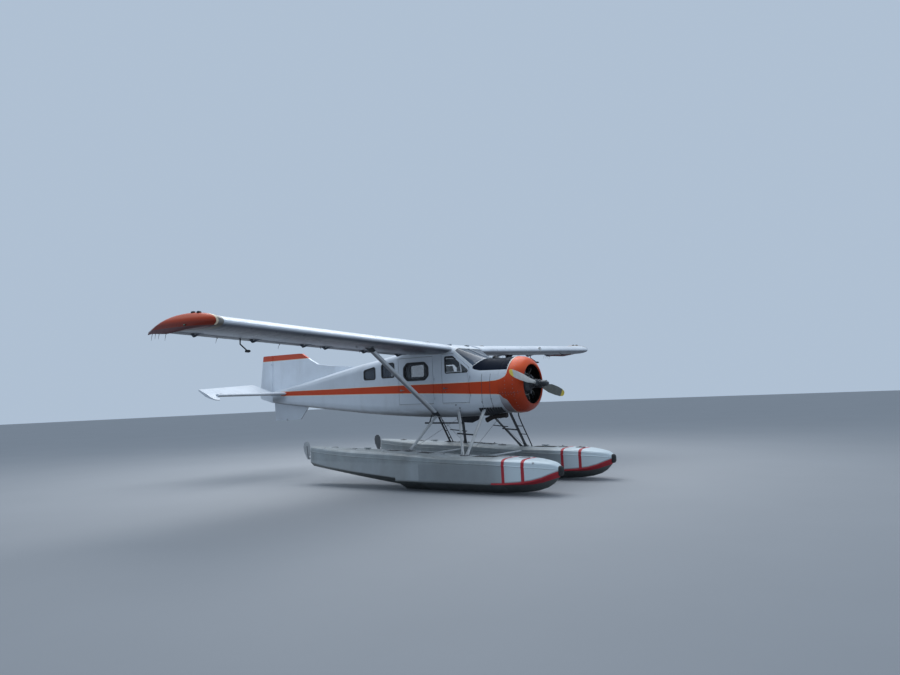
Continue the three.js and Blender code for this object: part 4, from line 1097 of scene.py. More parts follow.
def make_windows():
    surface = Surface(BODY_NODES)
    for name, side in SIDES:
        for piece, body, outlines, radius, grow, width, height in (
            ("crew_window_seal", f"crew_door_{name}", [CREW_WINDOW], 0.03, 0.002, 0.03, 0.006),
            ("cabin_window_seal", f"cabin_door_{name}", [CABIN_WINDOW], 0.08, -0.006, 0.05, 0.011),
            ("rear_window_seals", "airframe", REAR_WINDOWS, 0.04, 0.0, 0.034, 0.007),
        ):
            seals = Form()
            for outline in outlines:
                seals.strip(seal_spots(surface, outline, side, radius, grow), width, height, 0.02)
            seals.build(f"{piece}_{name}", "bumper_rubber", "rubber", body)
        bar = Form()
        y = side * (BODY_HALF - 0.011)
        divider = ((0.235, 0.325), (0.20, 0.57))
        bar.strip([(at(x, y, z), Vector((0, side, 0))) for x, z in divider], 0.03, 0.016, 0.004)
        bar.strip([(at(x, y, 0.345), Vector((0, side, 0))) for x in (-0.2, 0.2)], 0.02, 0.014, 0.004)
        bar.build(f"crew_window_divider_{name}", "airframe_white", "trim", f"crew_door_{name}")

    frames, post = Form(), Form()
    for name, side in SIDES:
        spots = pane_edge(f"windshield_{name}", Vector((0.5, 0, 0.86)))
        points = along([point for point, _ in spots], 0.03)
        normals = []
        for point in points:
            nearest = min(spots, key=lambda spot: (spot[0] - point).length)
            normals.append(nearest[1])
        edge = [(p + n * 0.004, n) for p, n in zip(points, normals)]
        middle = [spot for spot in edge if abs(spot[0].y) < 0.03]
        split = next(i for i, spot in enumerate(edge) if abs(spot[0].y) < 0.06)
        turned = edge[split:] + edge[1:split]
        frames.strip([spot for spot in turned if abs(spot[0].y) > 0.05], 0.042, 0.006, 0.012)
        post.strip(sorted(middle, key=lambda spot: spot[0].x), 0.042, 0.006, 0.012)
    frames.build("windshield_frames", "airframe_white", "trim")
    post.build("windshield_post", "airframe_white", "post")


def handle(form, x, z, side, length=0.11):
    y = side * (BODY_HALF + 0.004)
    form.lathe([(0, 0.024), (0.006, 0.024), (0.009, 0.018)], at(x, y, z), (0, side, 0), 18)
    form.lathe([(0.006, 0.008), (0.03, 0.008)], at(x, y, z), (0, side, 0), 10)
    form.tube([at(x, y + side * 0.028, z), at(x + length * 0.5, y + side * 0.032, z - 0.002),
               at(x + length, y + side * 0.026, z - 0.006)], [0.009, 0.008, 0.006], 10, squash=0.7)


# Each door: its name, the handle's x, the hinges' x and heights, and the sill's ends
DOORS = (("crew_door", -0.25, 0.43, (-0.23, 0.18), (-0.31, 0.43)),
         ("cabin_door", -1.51, -0.56, (-0.28, 0.17), (-1.58, -0.56)))
HANDLE_Z = -0.02
SILL_Z = -0.378


def make_door_fittings():
    for name, side in SIDES:
        out = Vector((0, side, 0))
        for stem, x, hinge_x, hinge_z, sill_ends in DOORS:
            metal, fixed, sill = Form(), Form(), Form()
            handle(metal, x, HANDLE_Z, side)
            metal.lathe([(0, 0.011), (0.004, 0.011), (0.005, 0.008)],
                        at(x + 0.03, side * BODY_HALF, HANDLE_Z - 0.07), out, 14)
            for form, offset, lifts in ((metal, -0.022, (0.072, 0.102)), (fixed, 0.022, (0.015, 0.045))):
                for height in hinge_z:
                    for lift in lifts:
                        form.bolt(at(hinge_x + offset, side * (BODY_HALF + 0.003), height + lift), out,
                                  0.0045, 0.004)
            metal.build(f"{stem}_fittings_{name}", "strut_grey", "steel", f"{stem}_{name}")
            fixed.build(f"{stem}_hinge_bolts_{name}", "strut_grey", "steel")
            sill.strip([(at(x, side * BODY_HALF, SILL_Z), out) for x in spread(*sill_ends, 0.1)], 0.022,
                       0.012, 0.001)
            sill.build(f"{stem}_sill_{name}", "airframe_white", "trim")


FINS = 15
CYLINDERS = 9
CYLINDER_X = 1.4


def make_crankcase():
    """The crankcase with its bolts and boxes, and the baffle behind the cylinders."""
    case = Form()
    case.lathe([(1.167, 0.235), (1.19, 0.243), (1.485, 0.243), (1.492, 0.235), (1.50, 0.226), (1.54, 0.222),
                (1.552, 0.205), (1.556, 0.190), (1.575, 0.187), (1.60, 0.176), (1.635, 0.150),
                (1.665, 0.118),
                (1.675, 0.112), (1.682, 0.112), (1.685, 0.096), (1.70, 0.09), (1.735, 0.082), (1.74, 0.066),
                (1.771, 0.062)], at(0, 0, 0), (1, 0, 0), 56)
    for count, radius, x in ((18, 0.214, 1.541), (14, 0.198, 1.556), (10, 0.104, 1.682)):
        for turn in turns(count, 0.5):
            case.bolt(around(x, radius, turn), (1, 0, 0), 0.0065, 0.008)
    for turn in (math.radians(58), math.radians(122)):
        base = around(1.575, 0.155, turn)
        case.lathe([(0, 0.052), (0.045, 0.052), (0.05, 0.046), (0.085, 0.044), (0.09, 0.036),
                    (0.092, 0.02)],
                   base, (1, 0, 0), 24)
    case.lathe([(0, 0.034), (0.05, 0.034), (0.056, 0.028), (0.08, 0.027), (0.086, 0.018)],
               at(1.60, 0, 0.15), (0.9, 0, 0.43), 20)
    case.block((1.57, -0.035, -0.215), (1.66, 0.035, -0.13), 0.01)
    engine_case = case.build("engine_crankcase", "engine_metal", "crankcase")
    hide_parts("engine")
    baffle = Form()
    baffle.lathe([(1.33, 0.236), (1.332, 0.236), (1.333, 0.596), (1.327, 0.596), (1.326, 0.236)],
                 at(0, 0, 0), (1, 0, 0), 64)
    baffle.build("cylinder_baffle", "engine_metal", "dark_strut")


def make_engine():
    barrels, heads, covers, rods, leads, plugs = (Form() for _ in range(6))
    for index in range(CYLINDERS):
        turn = math.pi / 2 + 2 * math.pi * index / CYLINDERS
        out = Vector((0, math.cos(turn), math.sin(turn)))
        across = Vector((0, -math.sin(turn), math.cos(turn)))
        centre = at(CYLINDER_X, 0, 0)

        def spot(x, radius, sideways=0.0):
            return at(x, 0, 0) + out * radius + across * sideways

        profile = [(0.235, 0.082)]
        for fin in range(FINS):
            base = 0.25 + fin * 0.0098
            profile += [(base, 0.066), (base + 0.0042, 0.066), (base + 0.0055, 0.084),
                        (base + 0.0082, 0.084)]
        profile += [(0.399, 0.066), (0.402, 0.06)]
        barrels.lathe(profile, centre, out, 26)
        profile = [(0.395, 0.088)]
        for fin in range(11):
            base = 0.402 + fin * 0.0125
            reach = 0.098 - 0.0019 * fin
            profile += [(base, reach - 0.02), (base + 0.006, reach - 0.02), (base + 0.0075, reach),
                        (base + 0.0105, reach)]
        profile += [(0.541, 0.06), (0.548, 0.045)]
        heads.lathe(profile, centre, out, 26)
        for sideways in (-0.052, 0.052):
            axis = (out * 0.9 + across * math.copysign(0.25, sideways)).normalized()
            base = spot(CYLINDER_X + 0.03, 0.50, sideways * 0.9)
            covers.lathe([(0, 0.026), (0.05, 0.026), (0.058, 0.022), (0.06, 0.01)], base, axis, 14)
            covers.tube([spot(CYLINDER_X - 0.055, 0.528, sideways * 0.86),
                         spot(CYLINDER_X + 0.07, 0.528, sideways * 0.86)],
                        0.027, 12)
            rods.tube([spot(1.505, 0.232, sideways * 0.45), spot(1.478, 0.515, sideways * 0.9)], 0.0085, 10)
            rods.lathe([(0, 0.014), (0.022, 0.014)], spot(1.505, 0.225, sideways * 0.45),
                       spot(1.478, 0.515, sideways * 0.9) - spot(1.505, 0.225, sideways * 0.45), 10)
        plugs.lathe([(0, 0.014), (0.012, 0.014), (0.014, 0.009), (0.04, 0.009)], spot(1.485, 0.455, 0.0),
                    (0.8, out.y * 0.3, out.z * 0.3), 10)
        leads.tube(eased([spot(1.535, 0.242, 0.004), spot(1.53, 0.30, 0.014), spot(1.535, 0.40, 0.008),
                          spot(1.522, 0.462, 0.0)], 5), 0.0055, 8)
        rods.tube(eased([spot(1.28, 0.25, 0.1), spot(1.275, 0.36, 0.13), spot(1.30, 0.47, 0.10)], 5), 0.022,
                  12)
    leads.tube([around(1.535, 0.238, turn)
                for turn in turns(48)], 0.011, 8, loop=True)
    for form, name, look in ((barrels, "cylinder_barrels", "cylinder"),
                             (heads, "cylinder_heads", "cylinder"),
                             (covers, "rocker_covers", "crankcase"), (rods, "pushrod_tubes", "steel"),
                             (leads, "ignition_harness", "lead"), (plugs, "spark_plugs", "steel")):
        form.build(name, "engine_metal", look)

    make_crankcase()


def make_exhaust():
    pipe = Form()
    low, high = datum_box("exhaust")
    y = (low.y + high.y) / 2
    collar = [(1.08, -0.672), (1.0, -0.678), (0.86, -0.688), (0.74, -0.698)]
    pipe.tube(eased([at(x, y, z) for x, z in collar] + [at(0.64, y, -0.735), at(0.535, y, -0.783)], 5),
              0.056, 24)
    for x, z in ((1.045, -0.675), (0.90, -0.686), (0.745, -0.698)):
        pipe.lathe([(-0.016, 0.058), (-0.014, 0.063), (0.014, 0.063), (0.016, 0.058)], at(x, y, z),
                   (1, 0, 0.07), 24)
        pipe.bolt(at(x, y - 0.063, z), (0, -1, 0), 0.006, 0.02)
    end = at(0.535, y, -0.783)
    aim = Vector((-0.105, 0, -0.048)).normalized()
    pipe.lathe([(-0.02, 0.059), (0.002, 0.060), (0.004, 0.056), (0.0, 0.050), (-0.09, 0.046),
                (-0.091, 0.01)],
               end, aim, 24)
    piece = pipe.build("exhaust_pipe", "exhaust_steel", "burnt")
    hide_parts("exhaust")
    shield = Form()
    for x in spread(0.80, 1.02, 0.22):
        shield.tube([at(x, y, -0.62), at(x, y, -0.665)], 0.009, 8)
    shield.build("exhaust_hangers", "exhaust_steel", "steel")


def make_nose_fittings():
    nose = Surface(["nose_cowling", "fuselage_cabin"])
    fasteners = Form()
    for x, z in ((0.73, -0.495), (0.956, -0.458), (0.743, -0.36), (0.966, -0.30)):
        for side in (1, -1):
            spot = nose.side(x, z, side)
            if spot:
                fasteners.stud(spot[0], spot[1], 0.014, 0.004, 10)
    fasteners.build("nose_fasteners", "strut_grey", "seam")
    outlet = Form()
    for x in spread(0.66, 1.10, 0.055):
        spots = [nose.side(x, z, -1) for z in spread(-0.555, -0.49, 0.02)]
        under = [nose.under(x, y) for y in (-0.36, -0.30, -0.24)]
        outlet.strip(met(spots[::-1] + under), 0.05, 0.012)
    outlet.build("cooling_outlet", "exhaust_steel", "soot")
    scoop = Form()
    base_z = 0.60
    scoop.skin([
        [at(x, y * half, base_z + (z * height if z > 0 else -0.01)) for y, z in
         ((-1, 0), (-0.9, 0.7), (-0.5, 1), (0.5, 1), (0.9, 0.7), (1, 0))]
        for x, half,
        height in ((0.70, 0.03, 0.025), (0.74, 0.05, 0.05), (0.80, 0.055, 0.058), (0.86, 0.04, 0.045),
                                (0.92, 0.015, 0.02))
    ])
    scoop.lathe([(-0.02, 0.05), (0.03, 0.05), (0.04, 0.04), (0.042, 0.02)], at(0.745, 0.0, 0.635),
                (0, 0, 1), 24)
    scoop.build("nose_filler_cap", "nose_white", "dark_strut")


def make_cowling():
    trim = Form()
    trim.tube([around(COWL_FRONT - 0.006, 0.453, turn) for turn in turns(72)], 0.009, 8, loop=True)
    trim.build("cowl_lip", "cowl_orange", "cowl")
    surface = Surface(["engine_cowl"])
    work = Riveting("cowl")
    hardware = Form()
    for x, count in ((1.185, 60), (1.345, 48), (1.405, 48), (1.53, 44)):
        for turn in turns(count):
            spot = surface.inward(x, turn)
            if x in (1.345, 1.53):
                if spot:
                    hardware.stud(spot[0], spot[1], 0.0085, 0.0022, 10)
            else:
                work.stud(spot)
    work.lap([surface.inward(1.375, turn) for turn in turns(72) + [2 * math.pi]], 0.026, 0.004)
    seam = Form()
    for degrees in (78, 198, 318):
        turn = math.radians(degrees)
        seam.strip(met(surface.inward(x, turn) for x in spread(1.17, 1.68, 0.03)), 0.007, 0.0012)
        for off in (-2.6, 2.6):
            turn = math.radians(degrees + off)
            for x in spread(1.2, 1.62, 0.07):
                spot = surface.inward(x, turn)
                if spot:
                    hardware.stud(spot[0], spot[1], 0.0075, 0.002, 10)
    seam.build("cowl_seams", "cowl_orange", "seam")
    work.build()
    hardware.build("cowl_fasteners", "strut_grey", "steel")
    make_nose_fittings()
    make_exhaust()


# Blade sections along its radius: radius, chord, thickness, pitch in degrees
BLADE = (
    (0.095, 0.084, 0.084, 40), (0.23, 0.096, 0.078, 40), (0.36, 0.160, 0.044, 36), (0.62, 0.206, 0.028, 27),
    (0.90, 0.206, 0.018, 20), (1.13, 0.178, 0.012, 17), (1.25, 0.128, 0.009, 15), (1.295, 0.060, 0.006, 14),
)
BLADE_POINTS = 28


def blade_section(radius):
    for low, high in zip(BLADE, BLADE[1:]):
        if radius <= high[0]:
            t = (radius - low[0]) / (high[0] - low[0])
            t = t * t * (3 - 2 * t) if high[0] < 0.7 else t
            return [low[k] + (high[k] - low[k]) * t for k in range(4)]
    return list(BLADE[-1])


def make_propeller():
    low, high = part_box("prop_blade_right")
    rise = math.atan2((low.z + high.z) / 2 - SHAFT.z, -(low.y + high.y) / 2)
    for name, side, look in (("right", -1, "blade_light"), ("left", 1, "blade_dark")):
        spin = math.pi if side > 0 else 0
        rings = []
        radii = spread(0.095, 1.13, 0.045) + [1.17, 1.21, 1.25, 1.275, 1.295]
        for radius in radii:
            _, chord, thick, pitch = blade_section(radius)
            turn = math.radians(pitch)
            flatness = min(max((radius - 0.24) / 0.2, 0), 1)
            ring = []
            for angle in turns(BLADE_POINTS):
                across = chord / 2 * math.cos(angle)
                bulge = thick / 2 * math.sin(angle)
                if bulge < 0:
                    bulge *= 1 - 0.5 * flatness
                x = -across * math.sin(turn) + bulge * math.cos(turn)
                z = across * math.cos(turn) + bulge * math.sin(turn)
                swept_y = -radius * math.cos(spin - rise) - z * math.sin(spin - rise)
                swept_z = -radius * math.sin(spin - rise) + z * math.cos(spin - rise)
                ring.append(at(PROP_X + x, swept_y, swept_z))
            rings.append(ring)
        form = Form()
        form.skin(rings)
        piece = form.build(f"blade_{name}", "prop_metal", look, "propeller", 50)
        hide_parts(f"prop_blade_{name}")

    fittings = Form()
    for side in (1, -1):
        out = Vector((0, side * math.cos(rise), -side * math.sin(rise)))
        fore = Vector((1, 0, 0))
        up = out.cross(fore)
        root = at(PROP_X, 0, 0)
        fittings.lathe([(0.10, 0.068), (0.105, 0.074), (0.125, 0.074), (0.13, 0.066), (0.15, 0.064),
                        (0.155, 0.072),
                        (0.172, 0.072), (0.176, 0.062), (0.19, 0.05)], root, out, 32)
        for turn in turns(8, 0.5):
            fittings.bolt(root + out * 0.115 + 0.073 * (fore * math.cos(turn) + up * math.sin(turn)),
                          fore * math.cos(turn) + up * math.sin(turn), 0.007, 0.012)
        weight = root + out * 0.14 + fore * 0.075 - up * side * 0.02
        fittings.tube([root + out * 0.12 + fore * 0.05, weight, weight + fore * 0.03 - up * 0.035], 0.013,
                      10)
        fittings.lathe([(0, 0.03), (0.004, 0.034), (0.03, 0.034), (0.034, 0.028)],
                       weight + fore * 0.015 - up * 0.03,
                       fore, 20)
    for x, radius in ((1.775, 0.094), (1.90, 0.094)):
        fittings.lathe([(-0.006, radius - 0.01), (-0.004, radius), (0.004, radius), (0.006, radius - 0.01)],
                       at(x, 0, 0), (1, 0, 0), 36)
    for turn in turns(8):
        fittings.bolt(around(1.908, 0.083, turn), (1, 0, 0), 0.006, 0.01)
        fittings.bolt(around(2.041, 0.06, turn), (1, 0, 0), 0.005, 0.008)
    fittings.build("propeller_fittings", "prop_metal", "hub", "propeller")


def wing_place(x, y, side, height):
    """A place in the wing's own frame: distance out from the centre line, and height over its chord."""
    out = abs(y) - WING_ROOT_Y
    return at(
        x,
        side * (WING_ROOT_Y + out * math.cos(DIHEDRAL) - height * math.sin(DIHEDRAL)),
        WING_Z + out * math.sin(DIHEDRAL) + height * math.cos(DIHEDRAL),
    )


def dangle(form, base, reach):
    """A thin flexible wick with its socket."""
    reach = Vector(reach)
    form.tube([base, base + reach * 0.4 + Vector((-0.008, 0, 0)), base + reach], [0.0045, 0.004, 0.002], 6)
    form.lathe([(-0.02, 0.009), (0.02, 0.008)], base, reach, 8)


def make_leading_edge_fittings(surface):
    """The pitot tube and the landing light of the left wing."""
    port = Form()
    spot = surface.meet(at(0.3, 5.05, 0.985), at(-0.3, 5.05, 0.985))
    nose = spot[0] if spot else at(0, 5.05, 0.99)
    port.tube(eased([nose + Vector((x, 0, z)) for x, z in
                     ((-0.02, -0.03), (0.03, -0.075), (0.10, -0.085), (0.34, -0.082))], 5), 0.009, 10)
    port.build("pitot_tube", "strut_grey", "dark_strut")
    spot = surface.meet(at(0.3, 3.75, 1.0), at(-0.3, 3.75, 1.0))
    if spot:
        light, lens = Form(), Form()
        base = spot[0] + Vector((-0.010, 0, 0))
        light.lathe([(-0.03, 0.07), (0.006, 0.072), (0.012, 0.066)], base, (1, 0, 0), 28)
        light.build("landing_light_rim", "strut_grey", "steel")
        lens.lathe([(-0.01, 0.062), (0.008, 0.06), (0.016, 0.045), (0.02, 0.02)], base, (1, 0, 0), 28)
        lens.build("landing_light_lens", "window_glass", "clear_lens")


def make_flap_horns(name, side):
    horn = Form()
    for y in (1.6, 2.8):
        inner = wing_place(-1.30, WING_ROOT_Y + y + 0.12, side, -0.04)
        horn.tube([inner, inner + Vector((0.03, 0, -0.055))], 0.006, 8)
        horn.bolt(inner + Vector((0.03, side * 0.006, -0.055)), (0, side, 0), 0.006, 0.006)
    horn.build(f"flap_horns_{name}", "strut_grey", "steel", f"flap_{name}")


def make_tip_fittings(surface, name, side):
    """Knobs, wicks and the lamp at a wing's tip."""
    dark = Form()
    for x, y in TIP_BUMPS:
        dark.boss([(-0.006, 0.04), (0.012, 0.038), (0.022, 0.028), (0.026, 0.01)],
                  wing_spot(surface, x, y, side, True), 20)
    for x, y in ((-1.30, 7.27), (-1.02, 7.24)):
        dark.boss([(-0.01, 0.03), (0.02, 0.026), (0.035, 0.012)],
                  wing_spot(surface, x, y, side, False), 12)
    for x, y in ((-1.47, 7.27), (-1.49, 7.19), (-1.51, 7.11), (-1.52, 6.98)):
        spot = wing_spot(surface, x, y, side, False)
        if spot:
            dangle(dark, spot[0], (-0.05, 0, -0.14))
    dark.build(f"tip_fittings_{name}", "strut_grey", "rubber")
    wicks = Form()
    for y in (4.4, 5.9):
        dangle(wicks, wing_place(-1.575, y, side, -0.042), (-0.05, 0, -0.10))
    wicks.build(f"aileron_wicks_{name}", "strut_grey", "rubber", f"aileron_{name}")

    lens = Form()
    spot = surface.meet(at(-0.62, side * 7.6, 1.08), at(-0.62, side * 6.9, 1.08))
    if spot:
        lens.lathe([(-0.04, 0.008), (-0.02, 0.013), (0.015, 0.013), (0.03, 0.009), (0.035, 0.004)],
                   spot[0] + Vector((0, side * 0.002, 0)), (0.95, side * 0.25, 0), 20)
    lens.build(f"tip_light_{name}", "window_glass", "red_lens" if side > 0 else "green_lens")


def make_wing_metalwork(surface, name, side):
    """Hinge bolts, the filler cap and the tie-down ring."""
    steel = Form()
    for y in (0.4, 1.6, 2.8, 3.42, 4.7, 5.98):
        for x in (-1.0, -1.12):
            spot = surface.meet(wing_place(x, WING_ROOT_Y + y + 0.02, side, -0.4),
                                wing_place(x, WING_ROOT_Y + y + 0.02, side, 0.2))
            if spot:
                steel.bolt(spot[0], spot[1], 0.006, 0.006)
    steel.boss([(-0.004, 0.06), (0.006, 0.058), (0.009, 0.05), (0.009, 0.03), (0.016, 0.026),
                (0.018, 0.01)],
               wing_spot(surface, -0.30, 1.15, side, True), 26)
    spot = wing_spot(surface, -0.48, 3.35, side, False)
    if spot:
        ring = [spot[0] + spot[1] * 0.02 + 0.018 * Vector((math.cos(t), 0, math.sin(t)))
                for t in turns(14)]
        steel.tube(ring, 0.004, 8, loop=True)
        steel.lathe([(0, 0.012), (0.006, 0.01)], spot[0], spot[1], 12)
    steel.build(f"wing_metalwork_{name}", "strut_grey", "steel")


def make_wing_fittings():
    surface = Surface(WING_NODES)
    for name, side in SIDES:
        arm = Form()
        path = [wing_place(x, 5.60, side, z) for x, z in
                ((-1.36, -0.02), (-1.31, -0.06), (-1.31, -0.155), (-1.10, -0.30))]
        arm.tube(path, 0.013, 10)
        weight = [(-0.07, 0.008), (-0.05, 0.022), (0.03, 0.027), (0.07, 0.012)]
        arm.lathe(weight, path[-1], (1, 0, -0.05), 16)
        arm.build(f"aileron_balance_{name}", "strut_grey", "dark_strut", f"aileron_{name}")

        strips = {"wing_root_strip": (WING_ROOT_Y + 0.03, 0.05, 0.004),
                  "tip_joint": (TIP_LINE_Y + 0.01, 0.03, 0.003)}
        for piece, (y, width, height) in strips.items():
            form = Form()
            for upper in (True, False):
                spots = [wing_spot(surface, x, y, side, upper) for x in spread(-0.02, -1.20, 0.06)]
                form.strip(met(spots), width, height)
            look = "trim" if piece == "wing_root_strip" else "wing"
            form.build(f"{piece}_{name}", "wing_silver", look)
        make_wing_metalwork(surface, name, side)
        make_tip_fittings(surface, name, side)
        make_flap_horns(name, side)
    make_leading_edge_fittings(surface)


TIP_BUMPS = ((-0.568, 7.148), (-0.445, 7.129))
# The struts' axes on the right side's mirror: top, foot, chord and thickness
STRUTS = (
    ((-0.562, 0.575, -0.60), (-0.512, 3.0, 0.90), 0.162, 0.054),
    ((0.74, 0.48, -0.48), (0.74, 1.363, -1.54), 0.078, 0.036),
    ((0.07, 0.56, -0.48), (0.662, 1.339, -1.54), 0.066, 0.032),
    ((-0.55, 0.50, -0.60), (-0.95, 1.24, -1.50), 0.078, 0.036),
)


CUFF_WALL = 0.004
# The turned end of a bracing wire: distance along it, radius
WIRE_END = [(0.0, 0.006), (0.03, 0.009), (0.11, 0.009), (0.13, 0.005)]


def cuff(form, surface, end, middle, chord, thick):
    """A bolted socket round a strut, where it leaves the surface."""
    spot = surface.meet(middle, end + (end - middle) * 0.1)
    base = spot[0] if spot else end
    aim = (middle - base).normalized()
    fore = (Vector((1, 0, 0)) - aim * aim.x).normalized()
    wide = aim.cross(fore)
    rings = []
    for lift, swell in ((-0.02, 1.2), (0.09, 1.14), (0.12, 1.05), (0.125, 0.98)):
        long, short = fore * (chord / 2 * swell), wide * (thick / 2 * swell + CUFF_WALL)
        rings.append(circle(base + aim * lift, long, short, 1, 20))
    form.skin(rings)
    for lift in (0.03, 0.06):
        for way in (1, -1):
            outside = base + aim * lift + wide * way * (thick / 2 * 1.16 + CUFF_WALL)
            form.bolt(outside, wide * way, 0.008, 0.008)


def make_belly_fairing():
    belly = Form()
    belly.skin([
        [at(x, -0.05 + half * math.cos(t), -0.66 + drop * min(math.sin(t), 0.15)) for t in turns(18)]
        for x, half,
        drop in ((0.30, 0.03, 0.03), (0.26, 0.09, 0.12), (0.10, 0.12, 0.18), (-0.10, 0.11, 0.17),
                              (-0.20, 0.05, 0.06))
    ])
    belly.build("belly_cooler_fairing", "exhaust_steel", "soot")


def make_rigging():
    floats = Surface(["float_left", "float_right"])
    structure = Surface(BODY_NODES + WING_NODES + ["float_left", "float_right"])
    cuffs, sockets, steps, wires, plates = (Form() for _ in range(5))
    for side in (1, -1):
        for top, foot, chord, thick in STRUTS:
            start, end = (at(x, side * y, z) for x, y, z in (top, foot))
            for tip in (start, end):
                cuff(sockets if chord > 0.1 else cuffs, structure, tip, start.lerp(end, 0.5), chord, thick)
        steps.tube([at(0.296, side * 0.985, -1.03), at(0.74, side * 0.957, -1.066)], 0.017, 10)
        steps.tube([at(0.07, side * 0.925, -0.945), at(0.50, side * 0.905, -0.985)], 0.011, 10)
        steps.tube([at(-0.735 - 0.03 * side, side * 0.66, -0.838), at(-0.72, side * 0.50, -0.60)], 0.014, 8)
        for (x, y, z), (x2, y2, z2) in (((-0.50, -0.52, -0.66), (-0.93, 1.22, -1.44)),
                                        ((0.74, -0.50, -0.52), (0.76, 1.30, -1.50))):
            a, b = at(x, side * y, z), at(x2, side * y2, z2)
            wires.tube([a, b], 0.004, 8)
            for origin, other in ((a, b), (b, a)):
                wires.lathe(WIRE_END, origin, other - origin, 10)
        for x, y in ((0.70, 1.35), (-0.95, 1.24)):
            spot = floats.top(x, side * y, -1.0, -2.0)
            if spot:
                plates.lathe([(-0.01, 0.10), (0.012, 0.10), (0.016, 0.09)], spot[0], spot[1], 8)
                for t in turns(6):
                    plates.bolt(spot[0] + Vector((0.078 * math.cos(t), 0.078 * math.sin(t), 0.014)),
                                spot[1], 0.008, 0.008)
        for x, z in ((0.055, -0.408), (0.152, -0.479)):
            plates.boss([(-0.002, 0.018), (0.006, 0.018), (0.012, 0.012), (0.006, 0.008)],
                        structure.side(x, z, side), 14)
    rail = [at(*place) for place in
            ((1.0, 0.56, -0.60), (0.985, 0.62, -0.78), (0.90, 1.28, -1.42), (0.895, 1.31, -1.52))]
    steps.tube(eased(rail, 5), 0.014, 8)
    for share in (0.30, 0.62):
        steps.tube([rail[1].lerp(rail[2], share), at(0.74, 0.73 + share * 0.5, -0.78 - share * 0.62)],
                   0.010, 8)
    steps.tube([at(-0.77, -0.72, -0.80), at(-0.70, 0.72, -0.872)], 0.018, 10)
    thick_rail = [at(-1.27, 0.50, -0.66), at(-1.49, 1.34, -1.40)]
    thin_rail = [at(-1.21, 0.50, -0.66), at(-1.40, 1.34, -1.40)]
    steps.tube(thick_rail, 0.024, 10)
    steps.tube(thin_rail, 0.012, 10)
    steps.tube([at(-1.47, 1.28, -1.35), at(-1.66, 1.30, -1.385)], 0.016, 10)
    for share in (0.3, 0.55, 0.8):
        steps.tube([thick_rail[0].lerp(thick_rail[1], share), thin_rail[0].lerp(thin_rail[1], share)],
                   0.010, 8)
    for form, name, look in ((cuffs, "float_strut_cuffs", "strut"),
                             (sockets, "wing_strut_cuffs", "dark_strut"),
                             (steps, "boarding_steps", "dark_strut"), (wires, "bracing_wires", "wire"),
                             (plates, "float_fittings", "steel")):
        form.build(name, "strut_grey", look)
    make_belly_fairing()


def make_tail_fittings():
    surface = Surface(["rudder", "fin", "fuselage_tail", "ventral_fin"])
    metal = Form()
    metal.tube([at(-6.105 + 0.03 * math.cos(t), 0, -0.665 + 0.03 * math.sin(t)) for t in turns(16)], 0.006,
               8, loop=True)
    metal.lathe([(-0.02, 0.014), (0.02, 0.014)], at(-6.105, 0, -0.66), (0, 1, 0), 14)
    for side in (1, -1):
        metal.boss([(-0.002, 0.03), (0.01, 0.03), (0.014, 0.02)], surface.side(-6.1, -0.36, side), 18)
    metal.build("tail_metalwork", "strut_grey", "steel")
    tab = Form()
    for side in (1, -1):
        spots = [surface.side(-7.12, z, side) for z in spread(0.22, 0.62, 0.04)]
        tab.strip(met(spots), 0.006, 0.0015)
    for z in (0.26, 0.42, 0.58):
        spot = surface.side(-7.11, z, 1)
        if spot:
            tab.lathe([(-0.02, 0.005), (0.02, 0.005)], spot[0] + Vector((0, 0.003, 0)), (0, 0, 1), 8)
    tab.tube([at(-6.80, 0.07, 0.42), at(-7.02, 0.045, 0.42)], 0.004, 8)
    tab.lathe([(-0.01, 0.01), (0.04, 0.006)], at(-6.78, 0.062, 0.42), (0, 1, 0), 10)
    tab.build("rudder_tab_fittings", "strut_grey", "seam", "rudder")
    lamp = Form()
    lamp.lathe([(-0.01, 0.02), (0.01, 0.02), (0.025, 0.014), (0.03, 0.004)], at(-7.195, 0, 0.10),
               (-1, 0, 0), 16)
    lamp.build("tail_lamp", "window_glass", "clear_lens", "rudder")

    hinge = Form()
    for side in (1, -1):
        for y in (0.45, 1.2, 2.0):
            hinge.lathe([(-0.03, 0.011), (0.03, 0.011)], at(-6.452, side * y, TAILPLANE_Z + 0.035),
                        (0, 1, 0), 10)
            hinge.block((-6.455, side * y - 0.02, 0.085), (-6.43, side * y + 0.02, 0.10), 0.002)
    hinge.build("elevator_hinge_caps", "strut_grey", "steel")
    antenna = Form()
    antenna.skin([
        [at(-1.95 + 0.09 * u - rake, v * thick, z) for u,
         v in ((1, -0.6), (-0.3, -1), (-1, 0), (-0.3, 1), (1, 0.6))]
        for rake, thick, z in ((0, 0.012, 0.79), (0.04, 0.010, 0.95), (0.08, 0.006, 1.09))
    ])
    antenna.tube(eased([at(-1.0, 0, 1.0), at(-1.05, 0, 1.08), at(-1.2, 0, 1.16)], 5), [0.006] * 11, 8)
    antenna.build("roof_antennas", "airframe_white", "trim")


CHINE = [(x, half * 0.985, chine) for x, half, _, chine, _ in HULL if x > STEP_X]
GUNWALE = [(x, half, shoulder) for x, half, _, _, shoulder in HULL]
HATCHES = (2.15, 1.72, 0.05, -0.55, -1.45, -2.45, -3.05)
# The heights between which a line down meets a float's deck
DECK_RAY = (-1.0, -2.3)
# Below 1, this turns the bumper's round section into a rounded square
BUMPER_SQUARE = 0.55


